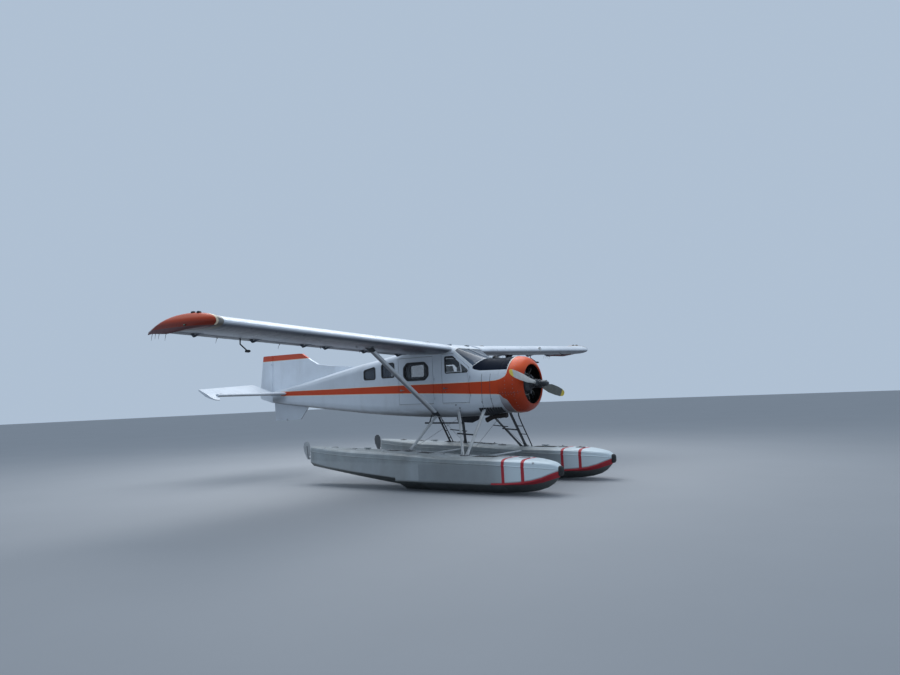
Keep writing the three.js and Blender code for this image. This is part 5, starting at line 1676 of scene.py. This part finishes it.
def make_water_rudder_fittings(name, side):
    plate = Form()
    blade_low, blade_high = datum_box(f"water_rudder_blade_{name}")
    outside = blade_high.y if side > 0 else blade_low.y
    pivot = Vector(JOINTS[f"water_rudder_{name}_lift"]["pos_m"])
    for z in spread(0.06, 0.34, 0.07):
        for x in (-0.06, 0.0):
            plate.stud(Vector((pivot.x + x - 0.02, outside + DATUM.y, pivot.z + z)),
                       Vector((0, side, 0)), 0.005, 0.002)
    spine = [Vector((pivot.x - 0.01, outside, pivot.z + 0.02)),
             Vector((pivot.x - 0.04, outside, pivot.z + 0.30))]
    plate.strip([(p, Vector((0, side, 0))) for p in spine], 0.03, 0.004)
    plate.bolt(Vector((pivot.x, outside, pivot.z)), (0, side, 0), 0.011, 0.009)
    plate.build(f"water_rudder_hardware_{name}", "strut_grey", "steel", f"water_rudder_blade_{name}")
    horn = Form()
    centre = Vector(JOINTS[f"water_rudder_{name}_steer"]["pos_m"])
    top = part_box(f"water_rudder_post_{name}")[1].z
    for way in (1, -1):
        arm_end = centre + Vector((-0.02, way * 0.085, top - 0.035 - centre.z))
        horn.tube([Vector((centre.x, centre.y, arm_end.z)), arm_end], 0.008, 8)
        horn.bolt(arm_end + Vector((0.001, -way * 0.005, 0.005)), (0, 0, 1), 0.006, 0.006)
    horn.build(f"water_rudder_horn_{name}", "strut_grey", "steel", f"water_rudder_post_{name}")


def make_bow_bumper(name):
    low, high = datum_box(f"bow_bumper_{name}")
    middle = (low + high) / 2
    bumper = Form()
    half_y, half_z = (high.y - low.y) / 2, (high.z - low.z) / 2
    rings = []
    for share, size in ((0.0, 1.0), (0.3, 0.99), (0.57, 0.93), (0.83, 0.72), (1.0, 0.42)):
        x = low.x + (high.x - low.x) * share
        ring = []
        for turn in turns(28):
            c, s = math.cos(turn), math.sin(turn)
            ring.append(at(x, middle.y + half_y * size * math.copysign(abs(c) ** BUMPER_SQUARE, c),
                           middle.z + half_z * size * math.copysign(abs(s) ** BUMPER_SQUARE, s)))
        rings.append(ring)
    bumper.skin(rings)
    piece = bumper.build(f"bow_bumper_pad_{name}", "bumper_rubber", "rubber", crease=50)
    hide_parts(f"bow_bumper_{name}")


def make_float_deck(surface, name, side, middle):
    """Hatches, caps and tread strips."""
    hatch = Form()
    for x in HATCHES:
        spot = surface.top(x, middle, *DECK_RAY)
        if not spot:
            continue
        base = spot[0]
        size = 0.105 if x > -2.0 else 0.08
        hatch.lathe([(-0.01, size + 0.012), (0.005, size + 0.012), (0.007, size + 0.004), (0.006, size),
                     (0.012, size - 0.004), (0.014, size - 0.02), (0.013, 0.03), (0.012, 0.01)],
                    base, (0, 0, 1), 36)
        hatch.tube([base + Vector((0.03 * math.cos(t), 0.012 * math.sin(t) * 2, 0.018))
                    for t in turns(16)], 0.0035, 6, loop=True)
        for turn in turns(8, 0.5):
            hatch.stud(base + Vector(((size + 0.008) * math.cos(turn), (size + 0.008) * math.sin(turn),
                                      0.005)),
                       Vector((0, 0, 1)), 0.004, 0.002)
    for x in spread(2.5, -3.2, 0.95):
        hatch.boss([(-0.004, 0.024), (0.006, 0.024), (0.01, 0.018), (0.016, 0.016), (0.018, 0.006)],
                   surface.top(x, middle + side * 0.30 * (1 if x > -1.5 else 0.6), *DECK_RAY), 18)
    hatch.build(f"float_hatches_{name}", "float_grey", "strut")
    mats = Form()
    for x0, x1, y0, y1 in ((1.55, 0.98, -0.14, 0.14), (-0.15, -0.45, -0.12, 0.12),
                           (-0.68, -0.84, -0.12, 0.12),
                           (-1.02, -1.32, -0.12, 0.12)):
        for across in spread(y0, y1, 0.055):
            spots = [surface.top(x, middle + across, *DECK_RAY) for x in spread(x0, x1, 0.1)]
            mats.strip(met(spots), 0.03, 0.0025)
    mats.build(f"float_tread_strips_{name}", "bumper_rubber", "rubber")


def make_float_strips(name, middle):
    """The gunwale rails, chine strips and keel strip."""
    rails, spray = Form(), Form()
    for way in (1, -1):
        rails.tube([at(x, middle + way * (y + 0.002), z) for x, y, z in GUNWALE], 0.012, 8)
        spray.skin([
            [at(x, middle + way * (y + out), z + lift) for out, lift in
             ((0.010, -0.016), (0.014, -0.004), (-0.004, 0.012), (-0.010, -0.006))]
            for x, y, z in CHINE
        ])
    rails.build(f"float_gunwales_{name}", "float_grey", "float")
    spray.build(f"float_chine_strips_{name}", "float_grey", "float")
    keel = Form()
    keel.skin([
        [at(x, middle + y, z + lift) for y,
         lift in ((-0.016, 0.02), (-0.013, 0.0), (0.013, 0.0), (0.016, 0.02))]
        for x, _, z, _, _ in HULL if x > STEP_X
    ])
    keel.build(f"float_keel_strip_{name}", "float_grey", "bare")


def rivet_float(surface, name, middle, pitch):
    work = Riveting(f"float_{name}")
    for x in spread(2.85, -3.55, 0.32):
        if -0.93 < x < -0.80:
            continue
        for degrees in spread(0, 360, 5.2):
            spot = surface.inward(x, math.radians(degrees), middle, FLOAT_Z)
            if spot and (spot[0] - at(x, middle, FLOAT_Z)).length > 0.05 and spot[1].z > -0.2:
                work.stud(spot)
    for x in (1.56, 0.26, -1.04, -2.34):
        work.lap([surface.inward(x, math.radians(degrees), middle, FLOAT_Z)
                  for degrees in spread(-20, 200, 6)], 0.036, 0.0014)
    for across in (-0.22, -0.08, 0.08, 0.22):
        for x in spread(2.6, -2.9, pitch):
            work.stud(surface.top(x, middle + across * (1 if x > -1.6 else 0.75), *DECK_RAY))
    work.build()


def make_floats(pitch):
    for name, side in SIDES:
        surface = Surface([f"float_{name}"])
        middle = side * FLOAT_Y
        rivet_float(surface, name, middle, pitch)
        make_float_strips(name, middle)
        make_float_deck(surface, name, side, middle)
    for name, side in SIDES:
        make_bow_bumper(name)
        make_water_rudder_fittings(name, side)


def cushion(form, low, high, crown, cells=14):
    """A crowned pad: its two broad faces swell between rounded edges."""
    (x0, y0, z0), (x1, y1, z1) = low, high
    flat_x = x1 - x0 > z1 - z0
    rings = []
    for i in range(cells + 1):
        v = -1 + 2 * i / cells
        pull = (1 - abs(v) ** 7) ** 0.5
        ring = []
        for k in range(4 * cells):
            edge, share = divmod(k, cells)
            s = -1 + 2 * share / cells
            u, w = ((s, -1), (1, s), (-s, 1), (-1, -s))[edge]
            if not flat_x:
                u, w = w, u
            soft = 1 - 0.3 * abs(u) ** 7
            rise = crown * (1 - v * v) * (1 - u * u) if abs(w) == 1 else 0
            w = w * (0.6 + 0.4 * pull) * soft + math.copysign(rise, w)
            u = u * (0.94 + 0.06 * pull)
            u, w = (u, w) if flat_x else (w, u)
            ring.append(at(x0 + (x1 - x0) * (u + 1) / 2, y0 + (y1 - y0) * (v + 1) / 2,
                           z0 + (z1 - z0) * (w + 1) / 2))
        rings.append(ring if flat_x else ring[::-1])
    form.skin(rings)


def turned_about_y(form, centre, degrees, start=0):
    """Tips the points from an index on, about an axis across the cabin."""
    turn = math.radians(degrees)
    base = DATUM + Vector(centre)
    for index in range(start, len(form.points)):
        x, y, z = form.points[index]
        dx, dz = x - base.x, z - base.z
        form.points[index] = (
            base.x + dx * math.cos(turn) + dz * math.sin(turn), y,
            base.z - dx * math.sin(turn) + dz * math.cos(turn),
        )


CLOTH_PRESSURE = 4
CLOTH_FRAMES = 20
CLOTH_VOXEL = 0.009


def pad(name, low, high, crown, look="cloth", tip=None, cap=0.022):
    """A cushion filled by a cloth simulation under pressure; no point moves further than the cap."""
    form = Form()
    cushion(form, low, high, crown)
    if tip:
        turned_about_y(form, *tip)
    piece = form.build(name, "seat_cloth", look, crease=60)
    bpy.context.view_layer.objects.active = piece
    even = piece.modifiers.new("even", "REMESH")
    even.mode = "VOXEL"
    even.voxel_size = CLOTH_VOXEL
    bpy.ops.object.modifier_apply(modifier="even")
    rest = [vertex.co.copy() for vertex in piece.data.vertices]
    filling = piece.modifiers.new("filling", "CLOTH")
    filling.settings.use_pressure = True
    filling.settings.uniform_pressure_force = CLOTH_PRESSURE
    filling.settings.effector_weights.gravity = 0
    filling.point_cache.frame_start, filling.point_cache.frame_end = 1, CLOTH_FRAMES
    for moment in range(1, CLOTH_FRAMES + 1):
        bpy.context.scene.frame_set(moment)
    shaped = piece.evaluated_get(bpy.context.evaluated_depsgraph_get()).data
    moved = [vertex.co.copy() for vertex in shaped.vertices]
    piece.modifiers.remove(filling)
    for vertex, start, end in zip(piece.data.vertices, rest, moved):
        step = end - start
        vertex.co = start + step * min(1, cap / max(step.length, 1e-6))
    for polygon in piece.data.polygons:
        polygon.use_smooth = True
    smooth = piece.modifiers.new("smooth", "SUBSURF")
    smooth.levels = smooth.render_levels = 1


def make_bench():
    bench = Form()
    bench.block((-1.555, -0.515, -0.31), (-1.14, 0.515, -0.29), 0.008)
    for y in (-0.32, 0.0, 0.32):
        for x in (-1.5, -1.18):
            bench.tube([at(x, y, -0.30), at(x, y, -0.604)], 0.015, 10)
        bench.tube([at(-1.52, y, -0.602), at(-1.16, y, -0.606)], 0.013, 10)
    frame_piece = bench.build("bench_frame", "strut_grey", "steel")
    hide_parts("rear_bench")
    for index, y in enumerate((-0.345, 0.0, 0.345)):
        pad(f"bench_cushion_{index + 1}", (-1.55, y - 0.168, -0.29), (-1.135, y + 0.168, -0.205), 0.14)
        pad(f"bench_back_{index + 1}", (-1.55, y - 0.165, -0.20), (-1.475, y + 0.165, 0.25), 0.12,
            tip=((-1.51, 0, -0.2), -11))


def make_seats():
    for name, side in SIDES:
        y = side * 0.29
        pan = Form()
        pan.block((-0.175, y - 0.205, -0.292), (0.235, y + 0.205, -0.262), 0.008)
        pan.block((-0.12, y - 0.02, -0.60), (0.10, y + 0.02, -0.29), 0.006)
        for way in (-1, 1):
            for (x0, z0), (x1, z1), radius in (((-0.15, -0.275), (-0.17, -0.63), 0.013),
                                               ((0.19, -0.275), (0.20, -0.63), 0.013),
                                               ((-0.20, -0.632), (0.23, -0.630), 0.012)):
                pan.tube([at(x0, y + way * 0.17, z0), at(x1, y + way * 0.17, z1)], radius, 10)
            pan.tube(eased([at(-0.13, y + way * 0.196, -0.28), at(-0.19, y + way * 0.2, -0.02),
                            at(-0.262, y + way * 0.17, 0.245)], 5), 0.012, 10)
        frame_piece = pan.build(f"seat_frame_{name}", "strut_grey", "steel")
        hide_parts(f"front_seat_{name}")
        lean = ((-0.13, 0, -0.25), -13.5)
        pad(f"seat_cushion_{name}", (-0.17, y - 0.205, -0.262), (0.235, y + 0.205, -0.185), 0.15)
        pad(f"seat_back_{name}", (-0.165, y - 0.195, -0.255), (-0.10, y + 0.195, 0.255), 0.12, tip=lean)
        pad(f"headrest_{name}", (-0.235, y - 0.165, 0.275), (-0.14, y + 0.165, 0.545), 0.1, "pale_cloth",
            lean)
        posts = Form()
        for way in (-1, 1):
            posts.tube([at(-0.245, y + way * 0.06, 0.22), at(-0.265, y + way * 0.06, 0.32)], 0.006, 8)
        posts.build(f"headrest_posts_{name}", "strut_grey", "steel")
        belt = Form()
        for way in (-1, 1):
            path = [at(-0.11, y + way * 0.19, -0.22), at(-0.03, y + way * 0.15, -0.168),
                    at(0.03, y + way * 0.05, -0.158)]
            belt.strip([(p, Vector((0, 0, 1))) for p in eased(path, 5)], 0.045, 0.003)
        belt.block((0.01, y - 0.03, -0.16), (0.06, y + 0.03, -0.148), 0.003)
        belt.build(f"lap_belt_{name}", "seat_cloth", "piping")

    make_bench()


def make_mats():
    mat = Form()
    floor = Surface(["fuselage_cabin"])
    for x0, x1, y0, y1 in ((0.25, 0.70, -0.36, 0.36), (-1.10, -0.22, -0.34, 0.34),
                           (-2.8, -1.66, -0.24, 0.24)):
        rows = []
        for x in spread(x0, x1, 0.12):
            hit = floor.meet(at(x, 0.0, 0.0), at(x, 0.0, -0.75))
            if hit:
                z = (hit[0] - DATUM).z
                rows.append([at(x, y0, z + 0.001), at(x, y1, z + 0.001), at(x, y1, z + 0.008),
                             at(x, y0, z + 0.008)])
        mat.skin(rows)
    mat.build("cabin_mats", "seat_cloth", "mat")


def make_controls():
    """The control column, wheel, levers and pedals."""
    controls = Form()
    controls.tube(eased([at(0.36, 0, -0.635), at(0.34, 0, -0.30), at(0.36, 0, 0.02), at(0.40, 0, 0.12)], 6),
                  0.022, 12)
    controls.tube(eased([at(0.38, 0.0, 0.10), at(0.36, 0.16, 0.11), at(0.35, 0.29, 0.12)], 6), 0.018, 12)
    wheel = [at(0.335, 0.29 + 0.13 * math.cos(t), 0.13 + 0.12 * math.sin(t)) for t in
             (math.radians(-225 + 270 * k / 30) for k in range(31))]
    controls.tube(wheel, 0.013, 12)
    for turn in (-45, 225, 90):
        t = math.radians(turn)
        controls.tube([at(0.345, 0.29, 0.125),
                       at(0.336, 0.29 + 0.125 * math.cos(t), 0.13 + 0.115 * math.sin(t))],
                      0.009, 8)
    for y, z in ((-0.05, 0.12), (0.0, 0.12), (0.05, 0.12)):
        controls.tube([at(0.51, y, z - 0.03), at(0.42, y, z)], 0.006, 8)
        controls.lathe([(0, 0.014), (0.03, 0.018), (0.04, 0.012)], at(0.42, y, z), (-1, 0, 0.2), 14)
    for y in (-0.37, -0.21, 0.21, 0.37):
        controls.tube([at(0.60, y, -0.42), at(0.57, y, -0.56)], 0.008, 8)
        controls.block((0.555, y - 0.045, -0.47), (0.575, y + 0.045, -0.38), 0.004)
    controls.build("flight_controls", "strut_grey", "dark_strut")


def make_cockpit():
    face_x = 0.519
    rims, faces, marks = Form(), Form(), Form()
    dials = [(y, z, 0.042) for z in (0.345, 0.245) for y in (-0.34, -0.235, -0.13, 0.13, 0.235, 0.34)]
    dials += [(-0.02, 0.35, 0.034), (0.06, 0.27, 0.03), (-0.05, 0.26, 0.03), (0.0, 0.18, 0.03)]
    for y, z, radius in dials:
        centre = at(face_x, y, z)
        rims.lathe([(-0.002, radius + 0.006), (0.008, radius + 0.006), (0.009, radius),
                    (0.003, radius - 0.001)],
                   centre, (-1, 0, 0), 26)
        faces.lathe([(0, radius - 0.002), (0.003, radius - 0.002)], centre, (-1, 0, 0), 26)
        for turn in turns(12):
            out = Vector((0, math.cos(turn), math.sin(turn)))
            marks.strip([(centre + Vector((-0.003, 0, 0)) + out * radius * share, Vector((-1, 0, 0)))
                         for share in (0.76, 0.93)], 0.0022, 0.0006)
        turn = (y * 31 + z * 17) % 6.28
        out = Vector((0, math.cos(turn), math.sin(turn)))
        marks.strip([(centre + Vector((-0.0036, 0, 0)) + out * radius * share, Vector((-1, 0, 0)))
                     for share in (-0.15, 0.7)], 0.003, 0.0006)
    rims.build("dial_rims", "panel_black", "panel")
    faces.build("dial_faces", "panel_black", "dial")
    marks.build("dial_marks", "panel_black", "dial_mark")

    make_controls()
    make_mats()


class FloatplaneLooks(bpy.types.PropertyGroup):
    """The paint's colours, its wear and the painted shade that goes with it"""

    white: FloatVectorProperty(name="White", description="Body, fin and tailplane paint", subtype="COLOR",
                               default=(0.60, 0.645, 0.70), min=0, max=1)
    stripe: FloatVectorProperty(name="Stripe", description="Stripe, cowl ring, fin cap and wing tips",
                                subtype="COLOR", default=(0.56, 0.055, 0.010), min=0, max=1)
    silver: FloatVectorProperty(name="Wings", description="Silver-white paint of the wings",
                                subtype="COLOR",
                                default=(0.62, 0.665, 0.72), min=0, max=1)
    float_grey: FloatVectorProperty(name="Floats", description="Deck and hull paint of the floats",
                                    subtype="COLOR", default=(0.33, 0.365, 0.38), min=0, max=1)
    red: FloatVectorProperty(name="Float trim", description="Bands and chine line at the bows",
                             subtype="COLOR",
                             default=(0.42, 0.022, 0.035), min=0, max=1)
    # Scales the grime and chips, and also the painted shade low on the cowl and the body
    wear_and_shade: FloatProperty(name="Wear", description="How much grime and chipping shows", default=1.0, min=0,
                        max=2)


class FloatplaneSizes(bpy.types.PropertyGroup):
    """Sizes of the small fittings"""

    rivet_pitch: FloatProperty(name="Rivet pitch", description="Distance between rivets", default=0.038,
                               min=0.02, max=0.2, unit="LENGTH")
    lens: FloatProperty(name="Lens", description="Focal length of the camera", default=29.28, min=10,
                        max=200,
                        subtype="DISTANCE_CAMERA")


def rivet_pitch(scene):
    return scene.floatplane_sizes.rivet_pitch * 1


class FLOATPLANE_OT_stage(bpy.types.Operator):
    """Sets the floor, the lights and the camera"""

    bl_idname = "floatplane.stage"
    bl_label = "Stage"

    def execute(self, context):
        make_stage(context.scene)
        return {"FINISHED"}


class FLOATPLANE_OT_paint(bpy.types.Operator):
    """Gives each piece of the frame its paint, metal or glass"""

    bl_idname = "floatplane.paint"
    bl_label = "Paint"

    def execute(self, context):
        paint_nodes(context.scene.floatplane_looks)
        return {"FINISHED"}


class FLOATPLANE_OT_skin(bpy.types.Operator):
    """Adds laps, seams and rivets to the body, wings and tail"""

    bl_idname = "floatplane.skin"
    bl_label = "Skin"

    def execute(self, context):
        pitch = rivet_pitch(context.scene)
        rivet_body(pitch)
        rivet_wings(pitch)
        rivet_tail(pitch)
        return {"FINISHED"}


class FLOATPLANE_OT_windows(bpy.types.Operator):
    """Adds window seals, the windshield's frames and the doors' fittings"""

    bl_idname = "floatplane.windows"
    bl_label = "Windows and doors"

    def execute(self, context):
        make_windows()
        make_door_fittings()
        return {"FINISHED"}


class FLOATPLANE_OT_engine(bpy.types.Operator):
    """Builds the radial engine, its cowling details and the exhaust"""

    bl_idname = "floatplane.engine"
    bl_label = "Engine"

    def execute(self, context):
        make_engine()
        make_cowling()
        return {"FINISHED"}


class FLOATPLANE_OT_propeller(bpy.types.Operator):
    """Builds the propeller's blades and hub fittings"""

    bl_idname = "floatplane.propeller"
    bl_label = "Propeller"

    def execute(self, context):
        make_propeller()
        return {"FINISHED"}


class FLOATPLANE_OT_fittings(bpy.types.Operator):
    """Adds the wings' and tail's lamps, balances, wicks and hinges"""

    bl_idname = "floatplane.fittings"
    bl_label = "Wing and tail fittings"

    def execute(self, context):
        make_wing_fittings()
        make_tail_fittings()
        return {"FINISHED"}


class FLOATPLANE_OT_floats(bpy.types.Operator):
    """Adds the floats' rails, hatches and bumpers, and the rigging above them"""

    bl_idname = "floatplane.floats"
    bl_label = "Floats"

    def execute(self, context):
        make_floats(rivet_pitch(context.scene))
        make_rigging()
        return {"FINISHED"}


class FLOATPLANE_OT_cabin(bpy.types.Operator):
    """Builds the seats, the instruments and the controls"""

    bl_idname = "floatplane.cabin"
    bl_label = "Cabin"

    def execute(self, context):
        make_seats()
        make_cockpit()
        return {"FINISHED"}


STEPS = ("stage", "paint", "skin", "windows", "engine", "propeller", "fittings", "floats", "cabin")


class FLOATPLANE_PT_panel(bpy.types.Panel):
    """Lists the floatplane's settings and steps"""

    bl_idname = "FLOATPLANE_PT_panel"
    bl_label = "Floatplane"
    bl_space_type = "VIEW_3D"
    bl_region_type = "UI"
    bl_category = "Floatplane"

    def draw(self, context):
        for group in (context.scene.floatplane_looks, context.scene.floatplane_sizes):
            for name in group.bl_rna.properties.keys():
                if name not in ("rna_type", "name"):
                    self.layout.prop(group, name)
        for step in STEPS:
            self.layout.operator(f"floatplane.{step}")


CLASSES = (
    FloatplaneLooks, FloatplaneSizes, FLOATPLANE_OT_stage, FLOATPLANE_OT_paint, FLOATPLANE_OT_skin,
    FLOATPLANE_OT_windows, FLOATPLANE_OT_engine, FLOATPLANE_OT_propeller, FLOATPLANE_OT_fittings,
    FLOATPLANE_OT_floats, FLOATPLANE_OT_cabin, FLOATPLANE_PT_panel,
)

# The camera, on the airframe's datum: where it stands, and its heading, pitch and roll in radians
EYE = (9.3955, -14.4769, -0.2463)
HEADING, PITCH, ROLL = 2.1691, 0.0825, -0.0391
FLOOR_REACH = 160
FLOOR_Z = -0.002


def make_stage(scene):
    forward = Vector((math.cos(PITCH) * math.cos(HEADING), math.cos(PITCH) * math.sin(HEADING),
                      math.sin(PITCH)))
    level = Vector((math.sin(HEADING), -math.cos(HEADING), 0))
    up = level.cross(forward)
    right = level * math.cos(ROLL) + up * math.sin(ROLL)
    top = -level * math.sin(ROLL) + up * math.cos(ROLL)
    data = bpy.data.cameras.new("camera")
    data.lens = scene.floatplane_sizes.lens
    data.sensor_width = 36
    data.clip_end = 500
    camera = bpy.data.objects.new("camera", data)
    turn = Matrix((right, top, -forward)).transposed().to_4x4()
    camera.matrix_world = Matrix.Translation(at(*EYE)) @ turn
    scene.collection.objects.link(camera)
    scene.camera = camera

    floor_look = Look("stage_floor", (0.34, 0.35, 0.365), 0.75)
    floor_look.mottle(0.25, 0.97, 1.02)
    mesh = bpy.data.meshes.new("floor")
    corners = ((-1, -1), (1, -1), (1, 1), (-1, 1))
    mesh.from_pydata([(x * FLOOR_REACH, y * FLOOR_REACH, FLOOR_Z) for x, y in corners], [], [(0, 1, 2, 3)])
    mesh.materials.append(floor_look.done())
    floor = bpy.data.objects.new("floor", mesh)
    scene.collection.objects.link(floor)

    world = bpy.data.worlds.new("soft_sky")
    world.use_nodes = True
    background = world.node_tree.nodes["Background"]
    background.inputs["Color"].default_value = (0.49, 0.60, 0.74, 1)
    background.inputs["Strength"].default_value = 0.88
    scene.world = world
    light = bpy.data.lights.new("overhead", "AREA")
    light.shape = "DISK"
    light.size = 16
    light.energy = 1750
    light.color = (0.95, 0.975, 1.0)
    lamp = bpy.data.objects.new("overhead", light)
    lamp.location = (-2, 3, 13)
    lamp.rotation_euler = (Vector((1, -3, -12))).to_track_quat("-Z", "Y").to_euler()
    scene.collection.objects.link(lamp)
    scene.view_settings.view_transform = "Standard"


def register():
    for cls in CLASSES:
        bpy.utils.register_class(cls)
    bpy.types.Scene.floatplane_looks = PointerProperty(type=FloatplaneLooks)
    bpy.types.Scene.floatplane_sizes = PointerProperty(type=FloatplaneSizes)


def unregister():
    del bpy.types.Scene.floatplane_sizes
    del bpy.types.Scene.floatplane_looks
    for cls in reversed(CLASSES):
        bpy.utils.unregister_class(cls)


def main():
    register()
    for step in STEPS:
        getattr(bpy.ops.floatplane, step)()


if __name__ == "__main__":
    main()
